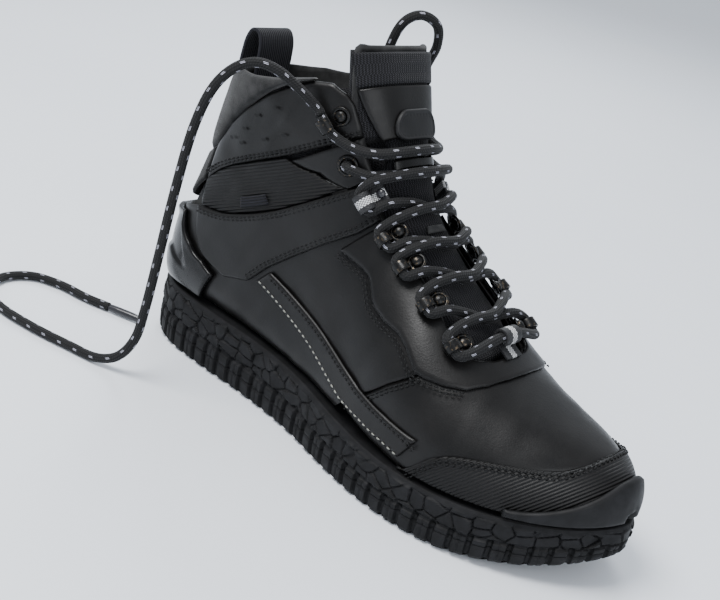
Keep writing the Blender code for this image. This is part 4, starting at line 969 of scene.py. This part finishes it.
def sole_part(name, look, levels, inner, node):
    """A closed wall round the sole; levels are (inset, height function, rows up to the next)."""
    x = RING[:, 0]
    rows = [(RING + (SPINE - RING) * t, inner[0](x) + inner[2] * lug_grooves(x)) for t in (0.96, 0.6, 0.3,
        0.12)]
    tread, top = height(x, TREAD), height(x, MIDSOLE_TOP)
    for k, (inset, level, count) in enumerate(levels):
        after = levels[min(k + 1, len(levels) - 1)]
        for step in range(count):
            t = step / count
            z = level(x) * (1 - t) + after[1](x) * t
            share = (z - tread) / (top - tread)
            cut = inset * (1 - t) + after[0] * t
            blocks = 1 - ramp(share, BLOCK_TOP - 0.03, BLOCK_TOP + 0.03)
            groove = GROOVE_DEPTH * pulse(RUN, GROOVE_PITCH, GROOVE_WIDTH) + 0.5 * pulse(RUN + 4.6,
                2 * GROOVE_PITCH, 1.0)
            edge = ramp(z, top - 3.2, top - 1.2)
            relief = -groove * blocks + plates(RUN, z - tread + 3, AROUND, 5) * (1 - blocks) * (1 - edge)
            relief -= 0.9 * (1 - ramp(np.abs(share - BLOCK_TOP), 0.02, 0.06))
            rows.append((RING + OUTWARD * (relief - cut)[:, None], z))
    rows += [(RING + (SPINE - RING) * t, inner[1](x)) for t in (0.12, 0.5, 0.96)]
    grid = np.array([np.column_stack([flat, z]) for flat, z in rows])
    count = len(grid)
    index = np.arange(count * PERIMETER).reshape(count, PERIMETER)
    a, b = index[:-1], index[1:]
    faces = np.stack([a, np.roll(a, -1, 1), np.roll(b, -1, 1), b], -1).reshape(-1, 4)
    return piece(name, grid.reshape(-1, 3), faces.tolist(), look, replaces=(node,), smooth_faces=False)


tread_line, low_line, top_line = (lambda x,
    table=table: height(x, table) for table in (TREAD, MIDSOLE_LOW, MIDSOLE_TOP))
sole_part("sole_tread", "rubber", [
    (2.8, tread_line, 3), (0.7, lambda x: tread_line(x) + 2.2, 8), (0.0, lambda x: low_line(x) - 1.5, 3),
    (0.4, lambda x: low_line(x) - 0.3, 1)], (tread_line, lambda x: low_line(x) - 0.3, 3.2), "outsole")
sole_part("sole_wall", "rubber", [
    (0.4, low_line, 3), (0.0, lambda x: low_line(x) + 1.5, 26), (0.3, lambda x: top_line(x) - 2.5, 5),
    (1.5, lambda x: top_line(x) - 0.3, 1), (2.2, top_line, 1)], (low_line, top_line, 0.0), "midsole")


# ---------------------------------------------------------------- toe
def toe_shell(name, top, low, steps, layer, look, node, fall=0.75):
    outer_tree, inner_tree = offset_skin_tree(layer[0]), offset_skin_tree(layer[0] - layer[1])
    top, low = resample(top, steps[0] + 1), resample(low, steps[0] + 1)
    share = np.linspace(0, 1, steps[1] + 1)[None, :, None]
    aims = (1 - share) * (top[:, None] - TOE_CENTRE) + share * (low[:, None] - TOE_CENTRE)
    grids = []
    for tree in (outer_tree, inner_tree):
        hits = [tree.ray_cast(Vector(TOE_CENTRE), Vector(aim).normalized())[0] for aim in aims.reshape(-1,
            3)]
        grids.append(np.array([hit if hit else aim + TOE_CENTRE for hit,
            aim in zip(hits, aims.reshape(-1, 3))],
                              float).reshape(aims.shape))
    for grid in grids:  # evens out the narrow first section at the tip
        for _ in range(10):
            grid[1:-1] = 0.5 * grid[1:-1] + 0.25 * (grid[:-2] + grid[2:])
    outer, inner = grids
    drop = edge_fall(outer, 1.3, fall)[..., None] / layer[1]
    return sheet_solid(name, outer + (inner - outer) * np.minimum(drop, 0.9), inner, look, replaces=(node,))


guard_top = skin(*both_sides(GUARD_TOP).T)
toe_shell("toe_guard_ribbed", guard_top, toe_loop(7.12, 1.9), (150, 26), OVERLAY, "ribbed", "toe_guard")
lining_top = skin(*both_sides([(8.6, 0.66), (8.2, 0.5), (7.7, 0.36), (7.2, 0.25), (6.6, 0.22), (6.3, 0.12),
                               (6.2, 0.0)]).T)
toe_shell("lining_toe", lining_top, toe_loop(8.55, 0.5), (56, 12), LINING, "lining", "lining_vamp")
bumper_low = toe_loop(4.6, 1.8)
bumper_top = bumper_low.copy()
bumper_top[:, 2] += 17.0 * np.sin(np.pi * np.linspace(0.0, 1.0, len(bumper_low))) ** 1.6 + 3.5
toe_shell("toe_cap_rubber", bumper_top, bumper_low, (150, 14), (5.4, 2.2), "toe_rubber", "toe_bumper", 1.4)

# ---------------------------------------------------------------- vamp, throat and quarters
vamp_top = np.vstack([spaced(sides([(8.83, 0.66)] + FRONT_SEAM, -1), 28),
    spaced(sides(THROAT_FRONT, -1), 14)[1:]])
vamp_top = np.vstack([vamp_top, (vamp_top * (1, -1))[-2::-1]])
vamp_low = spaced(both_sides([(7.15, 0.652), (6.5, 0.58), (5.9, 0.50), (5.3, 0.455), (4.7, 0.42),
    (4.2, 0.385),
                              (3.55, 0.31), (3.0, 0.20), (2.85, 0.0)]), len(vamp_top) - 1)
skin_panel("vamp_leather", ruled_grid(vamp_top, vamp_low, 26), MAIN, "leather", replaces=("vamp",),
    wrinkle=0.35)
stay_in = spaced(both_sides([(10.98,
    0.163)] + [p for p in THROAT[::-1] if p[0] < 10.9][:-1] + THROAT_FRONT), 130)
stay_out = spaced(both_sides(STAY_EDGE), 130)
skin_panel("eyestay_leather", ruled_grid(stay_in, stay_out, 14), OVERLAY, "leather", replaces=("eyestay",))


def collar_swell(rows, columns, side):
    """The padded collar: fullest at mid height, with two shallow dents along it."""
    a = np.linspace(0, 1, rows)[:, None]
    b = np.linspace(0, 1, columns)[None]
    puffs = 1.0 - 0.30 * np.exp(-((a - 0.45) / 0.06) ** 2) - 0.22 * np.exp(-((a - 0.78) / 0.05) ** 2)
    return (1.3 if side < 0 else 1.5) * np.sin(math.pi * b) ** 0.6 * np.sin(math.pi * a) ** 0.35 * puffs


def punched(obj, place, normal, radius):
    """Cuts a round hole through a panel and keeps the result as its mesh."""
    bpy.ops.mesh.primitive_cylinder_add(vertices=48, radius=radius * MM, depth=0.012)
    cutter = bpy.context.object
    cutter.rotation_mode = "QUATERNION"
    cutter.rotation_quaternion = Vector(normal).to_track_quat("Z", "Y")
    cutter.location = Vector(to_part(place))
    modifier = obj.modifiers.new("hole", "BOOLEAN")
    modifier.object, modifier.operation, modifier.solver = cutter, "DIFFERENCE", "EXACT"
    depsgraph = bpy.context.evaluated_depsgraph_get()
    mesh = bpy.data.meshes.new_from_object(obj.evaluated_get(depsgraph))
    obj.modifiers.clear()
    obj.data = mesh
    bpy.data.objects.remove(cutter)


for side, word in ((-1, "lateral"), (1, "medial")):
    s = lambda curve: sides(curve, side)
    top = boundary((s(THROAT), 45), (s(ANKLE_TOP + [(15.05, 0.86), (15.1, 0.997)]), 70))
    low = spaced(s([(8.88, 0.66)] + feather_run(8.98, HEEL_U, side)[:-1] + [(HEEL_U, 0.997)]), 115)
    left = spaced(s(FRONT_SEAM[::-1] + [(8.88, 0.66)]), 32)
    left[-1], left[0] = low[0], top[0]
    skin_panel("quarter_leather_" + word, coons(top, low, left, np.linspace(top[-1], low[-1], 33)), MAIN,
        "leather",
               replaces=("quarter_" + word,), wrinkle=0.45)

    top = spaced(s(ANKLE_TOP), 80)
    low = spaced(s(ANKLE_LOW[:-1] + [(11.72, 0.640), (12.10, 0.690), (12.60, 0.688), (13.40, 0.690),
        (13.9, 0.7)]), 80)
    skin_panel("ankle_strap_" + word, ruled_grid(top, low, 24), OVERLAY, "leather",
        replaces=("ankle_band_" + word,),
               wrinkle=0.25)

    top = spaced(s([(6.85, 0.500), (7.26, 0.511), (7.91, 0.525), (8.62, 0.546), (9.68, 0.554),
        (11.60, 0.553)]), 80)
    low = spaced(s([(7.18, 0.600), (7.66, 0.604), (8.26, 0.622), (8.85, 0.648), (9.72, 0.640),
        (11.62, 0.616)]), 80)
    skin_panel("side_band_" + word, ruled_grid(top, low, 10), OVERLAY, "leather",
        replaces=("side_strip_" + word,))

    top = spaced(s(INSERT_TOP), 50)
    low = spaced(s([(12.81, 0.213)] + ANKLE_TOP[2:]), 50)
    left = spaced(s(INSERT_FRONT), 24)
    grid = coons(top, low, left, spaced(s([(15.40, 0.731), (14.71, 0.721)]), 24))
    skin_panel("insert_ribbed_" + word, grid, MAIN, "insert", replaces=("ribbed_insert_" + word,),
        wrinkle=0.5)

    front = spaced(s(RIM_FRONT), 30)
    seam = spaced(s([(12.68, 0.205), (14.04, 0.276), (14.92, 0.380)]), 30)
    grid = coons(front[::-1], seam[::-1], np.linspace(front[-1], seam[-1], 13),
        np.linspace(front[0], seam[0], 13))
    facing = skin_panel("eyelet_facing_" + word, grid, MAIN, "leather", replaces=("eyelet_panel_" + word,))
    place, normal, _, _ = frame_at(EYELET[0], side * EYELET[1], PANEL_TOP)
    punched(facing, place, normal, EYELET_HOLE)

    low = spaced(s(COLLAR_LOW), 64)
    top = spaced(s(COLLAR_TOP), 64)
    front = spaced(s([(16.20, 0.198), (15.29, 0.166), (14.87, 0.160)]), 20)
    grid = coons(top, low, front, spaced(s([(16.24, 0.731), (15.40, 0.731)]), 20))
    collar = skin_panel("collar_pad_" + word, grid, MAIN, "leather", replaces=("collar_panel_" + word,),
                        swell=collar_swell(65, 21, side), wrinkle=0.5)

    top = boundary((s([(8.85, 0.262), (12.4, 0.262)]), 24), (s([(12.4, 0.262), (16.5, 0.262)]), 24),
                   (s([(16.5, 0.262), (17.1, 0.354), (17.3, 0.60), (17.5, 0.80), (17.5, 0.994)]), 40))
    low = spaced(s([(8.85, 0.655)] + feather_run(8.95, HEEL_U - 0.25,
        side)[:-1] + [(HEEL_U + 0.3, 0.994)]), 88)
    left = spaced(s([(8.85, 0.262), (8.85, 0.655)]), 24)
    left[-1] = low[0]
    pad = skin_panel("lining_padded_" + word, coons(top, low, left, np.linspace(top[-1], low[-1], 25)),
        LINING, "lining",
                     replaces=("lining_" + word,), wrinkle=0.4)


# ---------------------------------------------------------------- heel and collar
def round_back(lateral_curve):
    near = sides(lateral_curve, -1)
    far = near.copy()[::-1]
    far[:, 1] = -2 - far[:, 1]
    return np.vstack([near, far[1:]])


top = spaced(round_back([(16.22, 0.745), (16.2, 0.86), (16.2, 1.0)]), 60)
low = spaced(round_back([(15.42, 0.745), (15.25, 0.86), (15.2, 1.0)]), 60)
skin_panel("achilles_nubuck", ruled_grid(top, low, 14), MAIN, "panel_nubuck",
    replaces=("achilles_panel",), wrinkle=0.3)

top = spaced(round_back(RIM), 150)
low = spaced(round_back([(17.31, 0.345), (17.33, 0.432), (17.23, 0.527), (17.00, 0.628), (16.76, 0.687),
                         (16.28, 0.735), (16.26, 0.86), (16.26, 1.0)]), 150)
along = np.linspace(0, 1, 151)[:, None]
over = np.sin(np.linspace(0, math.pi, 17))[None]
roll = (0.7 + 2.0 * np.exp(-((along - 0.5) / 0.13) ** 2)
    + 0.8 * np.exp(-((along - 0.80) / 0.08) ** 2)) * over**0.7
rim = skin_panel("collar_roll", ruled_grid(top, low, 16), (1.2, 4.4), "nubuck", replaces=("collar_edge",),
                 swell=roll - 1.4 * (1 - over) ** 2, wrinkle=0.4)

top = spaced(round_back(CLIP_TOP), 140)
clip_low = [(u, q - 0.030) for u, q in feather_run(12.05, HEEL_U - 0.1, -1)]
low = spaced(round_back(clip_low + [(HEEL_U + 0.22, 1.0)]), 140)
grid = ruled_grid(top, low, 36)
a = np.linspace(0, 1, 141)[:, None]
b = np.linspace(0, 1, 37)[None]
a = np.minimum(a, 1 - a)
arc = np.clip((a - 0.10) / 0.34, 0, 1)
crescent = 0.46 - 0.20 * np.sin(math.pi * arc)
width = 0.02 + 0.24 * np.sin(math.pi * arc) ** 0.8
recess = (1 - ramp(np.abs(b - crescent), width - 0.06, width + 0.03)) * ramp(a, 0.10,
    0.15) * (1 - ramp(a, 0.40, 0.45))
skin_panel("heel_clip_gloss", grid, (3.4, 2.6), "tpu", replaces=("heel_clip",), swell=0.5 - 1.6 * recess)


# ---------------------------------------------------------------- tongue
def tongue_sheet(name, edge, steps, layer, look, node, puff=0.0):
    us = np.linspace(edge[0][0], edge[-1][0], steps[1] + 1)
    halves = np.interp(us, *zip(*edge))
    q = halves[:, None] * np.linspace(-1, 1, steps[0] + 1)[None]
    u = np.broadcast_to(us[:, None], q.shape)
    out = tongue_out(u, q) if layer is None else np.full(q.shape, layer[0])
    thick = TONGUE_THICK if layer is None else layer[1]
    flat = skin(u, q, out)
    outer = skin(u, q, out - edge_fall(flat, 2.4 if layer is None else 1.0, 1.6 if layer is None else 0.5))
    inside = thick + puff * np.sin(np.linspace(0, math.pi, steps[0] + 1))[None] ** 0.6
    inner = skin(u, q, out - inside + 0.25 * soft_noise(flat, 30))
    return sheet_solid(name, outer, inner, look, TONGUE, (node,))


pad = tongue_sheet("tongue_padded", [(6.75, 0.12), (8.0, 0.19), (12.0, 0.205), (17.98, 0.240)], (56, 150),
    None, "mesh",
                   "tongue", 1.6)
tongue_sheet("tongue_front_panel", [(14.42, 0.108), (15.3, 0.140), (16.2, 0.180), (16.76, 0.200)], (40, 40),
             (-0.9, 1.2), "leather", "tongue_face")
tongue_sheet("tongue_mesh_band", [(16.84, 0.203), (17.90, 0.230)], (50, 16), (-0.9, 1.2), "mesh",
    "tongue_top_band")
tongue_sheet("tongue_gloss_fold", [(12.62, 0.085), (13.24, 0.080)], (30, 14), (-0.9, 1.2), "gloss",
    "tongue_fold")
tongue_sheet("tongue_stitched_tab", [(10.24, 0.050), (10.44, 0.040)], (20, 10), (-1.1, 1.1),
    "grey_nubuck", "tongue_tab")
binding = [skin(u, -q, -3.9) for u, q in ((15.2, 0.196), (16.0, 0.200), (16.8, 0.206), (17.4, 0.210))]
binding += [skin(18.0, q, -4.9) for q in np.linspace(-0.206, 0.206, 11)]
binding += [skin(u, q, -3.9) for u, q in ((17.4, 0.210), (16.8, 0.206), (16.0, 0.200), (15.2, 0.196))]
tube("tongue_binding", binding, 1.9, "nubuck", TONGUE, sides=18)


def badge():
    half_long, half_high, centre_u = 15.0, 7.5, 14.95
    scale_q = 1 / np.linalg.norm(skin(centre_u, 0.01) - skin(centre_u, -0.01)) * 0.02
    scale_u = 1 / np.linalg.norm(skin(centre_u + 0.5, 0) - skin(centre_u - 0.5, 0))
    x = np.linspace(-half_long + 0.05, half_long - 0.05, 81)[:, None]
    bend = np.maximum(np.abs(x) - (half_long - half_high), 0.0)
    y = np.sqrt(half_high**2 - bend**2) * np.linspace(-1, 1, 33)[None]
    depth = half_high - np.hypot(bend, y)
    raised = 0.5 * (1 - ramp(np.abs(depth - 1.1), 0.4, 0.9)) - 0.5 * (1 - ramp(depth, 0.0, 0.5))
    raised = raised + 0.14 * pulse(x + 0 * y, 2.6, 1.7) * (1 - ramp(np.abs(depth - 2.6), 0.15, 0.35))
    u, q = centre_u + y * scale_u, x * scale_q + 0 * y
    sheet_solid("badge_blank", skin(u, q, 1.0 + raised), skin(u, q, -0.5), "badge", TONGUE,
        ("tongue_badge",))


badge()


# ---------------------------------------------------------------- hardware and webbing
def strip(name, path, place, across, along, normal, width, thick, look, node=(), columns=6, bevel=0.2):
    """A bent strip of even thickness; path gives (along, height) points of its middle."""
    path = np.array(path, float)
    ahead = np.gradient(path, axis=0)
    ahead /= np.linalg.norm(ahead, axis=1, keepdims=True)
    aside = np.stack([-ahead[:, 1], ahead[:, 0]], 1) * thick / 2
    grids = []
    for face in (path + aside, path - aside):
        line = place + face[:, :1] * along + face[:, 1:] * normal
        grids.append(line[:, None] + across * (np.linspace(-0.5, 0.5, columns + 1) * width)[None, :, None])
    made = sheet_solid(name, grids[0], grids[1], look, replaces=node)
    rounding = made.modifiers.new("edges", "BEVEL")
    rounding.width, rounding.segments, rounding.limit_method = bevel * MM, 2, "ANGLE"
    return made


def turned(name, profile, place, axis, look, node=(), count=40, closed=True):
    """A turned piece from (radius, height) points."""
    turn = np.array(Vector(axis).to_track_quat("Z", "Y").to_matrix())
    angles = np.arange(count) * 2 * math.pi / count
    profile = np.array(profile, float)
    rings = np.stack([profile[None, :, 0] * np.cos(angles)[:, None],
        profile[None, :, 0] * np.sin(angles)[:, None],
                      np.broadcast_to(profile[:, 1], (count, len(profile)))], 2) @ turn.T + place
    size = len(profile)
    last = size if closed else size - 1
    faces = [(i * size + j, (i + 1) % count * size + j, (i + 1) % count * size + (j + 1) % size,
        i * size + (j + 1) % size)
             for i in range(count) for j in range(last)]
    return piece(name, rings.reshape(-1, 3), faces, look, replaces=node)


PLATE_RING = [(3.1, -0.5), (4.5, -0.5), (4.75, -0.2), (4.75, 0.15), (4.45, 0.5), (3.6, 0.62), (3.1, 0.35)]
DOME = [(0.02, -0.3), (2.9, -0.3), (3.0, 0.5), (2.75, 1.15), (2.1, 1.75), (1.2, 2.15), (0.02, 2.3)]


def lace_loop(name, place, normal, axis, base, turn, thick, width, look, node, rivet=None):
    along = np.cross(axis, normal)
    radius = LACE_R + LACE_CLEARANCE + thick / 2
    low = HOOK_GAP + thick / 2
    path = [(x, low) for x in np.linspace(-base, 0, 12)]
    path += [(radius * math.sin(t),
        low + radius - radius * math.cos(t)) for t in np.radians(np.arange(8, turn + 1, 8))]
    strip(name, path, place, axis, along, normal, width, thick, look, (node,), bevel=0.3 if rivet else 0.2)
    if rivet:
        at = place - along * rivet + normal * low
        turned(name + "_plate", PLATE_RING, at, normal, look)
        turned(name + "_dome", DOME, at + normal * 0.3, normal, look, closed=False)


for side, word in ((-1, "lateral"), (1, "medial")):
    for k, (u, q) in enumerate(HOOKS):
        place, normal, up, away = frame_at(u, side * q, STAY_TOP)
        lace_loop(f"lace_hook_{word}_{k + 1}", place, normal, up * side, 6.0, 288, HOOK_THICK, HOOK_WIDTH,
            "metal",
                  f"hook_{word}_{k + 1}", 7.6)
    place, normal, up, away = frame_at(WEB_LOOP[0], side * WEB_LOOP[1], STAY_TOP)
    lace_loop("web_tab_" + word, place, normal, up * side, 11.0, 288, WEB_THICK, 9.0, "reflective",
              "webbing_loop_" + word)
    along = np.cross(up * side, normal)
    turned("web_bead_" + word, [(0.02, 0.0), (2.2, 0.0), (2.3, 0.7), (1.6, 1.4), (0.02, 1.7)],
           place - along * 8.6 + normal * (HOOK_GAP + WEB_THICK), normal, "bead", closed=False)
    place, normal, up, away = frame_at(TOP_HOOK[0], side * TOP_HOOK[1], PANEL_TOP)
    axis = (TOP_AXIS[0] * up + TOP_AXIS[1] * away) / np.hypot(*TOP_AXIS)
    lace_loop("collar_hook_" + word, place + normal * 0.6, normal, axis * side, 6.0, 240, HOOK_THICK, 7.0,
        "metal",
              "top_hook_" + word, 7.4)
    place, normal, up, away = frame_at(EYELET[0], side * EYELET[1], PANEL_TOP)
    turned("eyelet_grommet_" + word,
        [(3.35, -1.7), (3.95, -1.7), (3.9, 0.35), (5.3, 0.35), (5.45, 0.6), (5.0, 1.0),
                                      (4.3, 1.25), (3.7, 1.1), (3.35, 0.5)], place, normal, "metal",
           ("eyelet_ring_" + word,))

place, normal, up, away = frame_at(KEEPER[0], 0.0, STAY_TOP)
lace_loop("keeper_webbing", place, normal, -away, 10.0, 288, WEB_THICK, KEEPER[1], "reflective",
    "lace_keeper")
strap = smooth([(17.6, 122), (18.6, 136), (19.8, 150), (20.3, 162), (21.2, 171), (24.0, 176.6),
    (28.4, 176.6),
                (31.4, 171), (32.2, 160), (32.2, 148), (32.2, 138)], 8)
strip("pull_loop_webbing", strap, np.zeros(3), np.array([0, 1.0, 0]), np.array([1.0, 0, 0]),
    np.array([0, 0, 1.0]),
      25.0, 1.6, "webbing", ("pull_loop",), 16)
label_top, label_low = (spaced(sides(c, -1), 24) for c in ([(14.12, 0.445), (14.40, 0.540)],
    [(13.62, 0.430), (14.02, 0.536)]))
skin_panel("side_tab", ruled_grid(label_top, label_low, 12), (1.5, 0.9), "webbing",
    replaces=("side_label",))


# ---------------------------------------------------------------- stitching and small marks
def moved_aside(uq, distance):
    """The curve moved sideways on the skin by distance millimetres."""
    uq = np.asarray(uq, float)
    step = 0.01
    found = []
    for k, (u, q) in enumerate(uq):
        a, b = uq[max(k - 1, 0)], uq[min(k + 1, len(uq) - 1)]
        along = skin(*b) - skin(*a)
        normal = lookup(NORMALS, u, q)
        aside = np.cross(normal, along)
        aside = aside / max(np.linalg.norm(aside), 1e-9) * distance
        axes = np.stack([(skin(u + step, q) - skin(u - step, q)) / (2 * step),
                         (skin(u, q + step) - skin(u, q - step)) / (2 * step)], 1)
        move = np.linalg.lstsq(axes, aside, rcond=None)[0]
        found.append((u + move[0], q + move[1]))
    return np.array(found)


def stitches(name, rows, look="thread", body=BOOT, pitch=3.0, long=2.1, thick=0.5):
    """Rows of thread: each is (curve in u and q, height above the fitted skin)."""
    points, faces = [], []
    angles = np.arange(6) * math.pi / 3
    for curve, out in rows:
        dense = spaced(curve, 200)
        line = skin(dense[:, 0], dense[:, 1], out)
        normals = lookup(NORMALS, dense[:, 0], dense[:, 1])
        run = np.concatenate([[0], np.cumsum(np.linalg.norm(np.diff(line, axis=0), axis=1))])
        for start in np.arange(0.6, run[-1] - long, pitch):
            at = start + long * np.array([0.0, 0.18, 0.5, 0.82, 1.0])
            centre = np.stack([np.interp(at, run, line[:, k]) for k in range(3)], 1)
            normal = np.stack([np.interp(at, run, normals[:, k]) for k in range(3)], 1)
            ahead = centre[-1] - centre[0]
            ahead /= np.linalg.norm(ahead)
            base = len(points)
            for c, n, size in zip(centre, normal, (0.35, 0.85, 1.0, 0.85, 0.35)):
                across = np.cross(n, ahead)
                across /= np.linalg.norm(across)
                up = np.cross(ahead, across)
                lift = c + up * (size - 0.75) * thick
                points += [lift + size * thick * (math.cos(t) * across + math.sin(t) * up) for t in angles]
            for r in range(4):
                faces += [(base + r * 6 + j, base + r * 6 + (j + 1) % 6, base + (r + 1) * 6 + (j + 1) % 6,
                           base + (r + 1) * 6 + j) for j in range(6)]
            faces += [tuple(range(base + 5, base - 1, -1)), tuple(range(base + 24, base + 30))]
    return piece(name, np.array(points), faces, look, body)


def double(curve, first, second):
    return [moved_aside(curve, first), moved_aside(curve, second)]


TOP_OVERLAY, TOP_MAIN = OVERLAY[0] + 0.05, MAIN[0] + 0.1
for side, word in ((-1, "lateral"), (1, "medial")):
    s = lambda curve: spaced(sides(curve, side), 60)
    turn = side
    seam = s([(8.83, 0.648)] + FRONT_SEAM[:-1])
    stitches("thread_front_seam_" + word,
        [(c, TOP_MAIN + 0.2) for c in double(seam, 1.8 * turn, 3.6 * turn)])
    band = s([(6.77, 0.516), (7.26, 0.511), (7.91, 0.525), (8.62, 0.546), (9.68, 0.554), (11.58, 0.554)])
    stitches("thread_side_band_" + word, [(c, TOP_OVERLAY) for c in double(band, -1.5 * turn, -3.0 * turn)])
    pale = s([(7.20, 0.592), (7.66, 0.596), (8.26, 0.612), (8.85, 0.636), (9.72, 0.629), (11.60, 0.605)])
    stitches("thread_pale_" + word, [(pale, TOP_OVERLAY + 0.1)], "pale_thread", pitch=3.6, long=2.0,
        thick=0.45)
    upper, lower = s(ANKLE_TOP), s(ANKLE_LOW[:-1] + [(11.72, 0.640)])
    rows = [(c, TOP_OVERLAY) for c in double(upper, -1.6 * turn, -3.2 * turn) + double(lower, 1.6 * turn,
        3.2 * turn)]
    stitches("thread_ankle_strap_" + word, rows)
    under = s(COLLAR_LOW)
    stitches("thread_collar_" + word, [(c, TOP_MAIN + 0.75) for c in double(under, 1.6 * turn, 3.2 * turn)])
    edge = s(STAY_EDGE[:-3])
    stitches("thread_eyestay_" + word, [(c, TOP_OVERLAY) for c in double(edge, 1.6 * turn, 3.2 * turn)])
edge = spaced(both_sides(GUARD_TOP), 120)
stitches("thread_toe_guard", [(c, TOP_OVERLAY) for c in double(edge, -1.7, -3.4)])

# Perforations: flat near-black discs on the leather, painted shade standing in for the dark inside of each
# hole.
HOLES = [(16.75, 0.476), (16.68, 0.550), (16.39, 0.589), (16.24, 0.638), (15.82, 0.411), (15.89, 0.489),
    (15.99, 0.583)]
for side, word in ((-1, "lateral"), (1, "medial")):
    points, faces = [], []
    for u, q in HOLES:
        place, normal, up, away = frame_at(u, side * q, 2.35)
        base = len(points)
        points += [place + 1.5 * math.cos(t) * away
            + 0.8 * math.sin(t) * up for t in np.arange(16) * math.pi / 8]
        faces.append(tuple(range(base, base + 16)))
    piece("perforation_shade_" + word, np.array(points), faces, "thread")

# ---------------------------------------------------------------- CAD pieces that keep their shape
for node, look in (("footbed", "insole"), ("insole_board", "board"), ("shank", "steel"),
    ("heel_counter", "board"),
                   ("toe_puff", "board")):
    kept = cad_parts[node]
    kept.data.materials.clear()
    kept.data.materials.append(LOOKS[look])

# ---------------------------------------------------------------- floor and light
floor_look = Shader("pale_floor")
floor_look.bump(floor_look.noise(3.0, 4.0), 0.02, 0.3)
FLOOR_LOOK = floor_look.finish(floor_look.mix(floor_look.noise(220, 2.0), (0.76, 0.79, 0.84, 1),
    (0.80, 0.83, 0.87, 1)),
                               0.75, specular=0.2)
bpy.ops.mesh.primitive_plane_add(size=30, location=(0, 0, -0.0002))
floor = bpy.context.object
floor.name = "floor"
floor.data.materials.append(FLOOR_LOOK)

world = bpy.data.worlds.new("studio")
bpy.context.scene.world = world
world.use_nodes = True
world.node_tree.nodes["Background"].inputs[0].default_value = (0.83, 0.88, 0.95, 1)
world.node_tree.nodes["Background"].inputs[1].default_value = 0.95


def area(name, place, size, power, tint=(1, 1, 1)):
    data = bpy.data.lights.new(name, "AREA")
    data.shape, data.size, data.energy, data.color = "DISK", size, power, tint
    lamp = bpy.data.objects.new(name, data)
    lamp.location = place
    lamp.rotation_euler = (Vector((0, 0, 0.08)) - Vector(place)).to_track_quat("-Z", "Y").to_euler()
    bpy.context.scene.collection.objects.link(lamp)


area("key", (-0.25, -0.55, 1.25), 0.7, 24)
area("back_rim", (-0.7, 0.9, 1.0), 0.6, 11, (0.92, 0.96, 1))
area("side_fill", (0.9, -0.5, 0.5), 0.8, 5, (0.95, 0.97, 1))
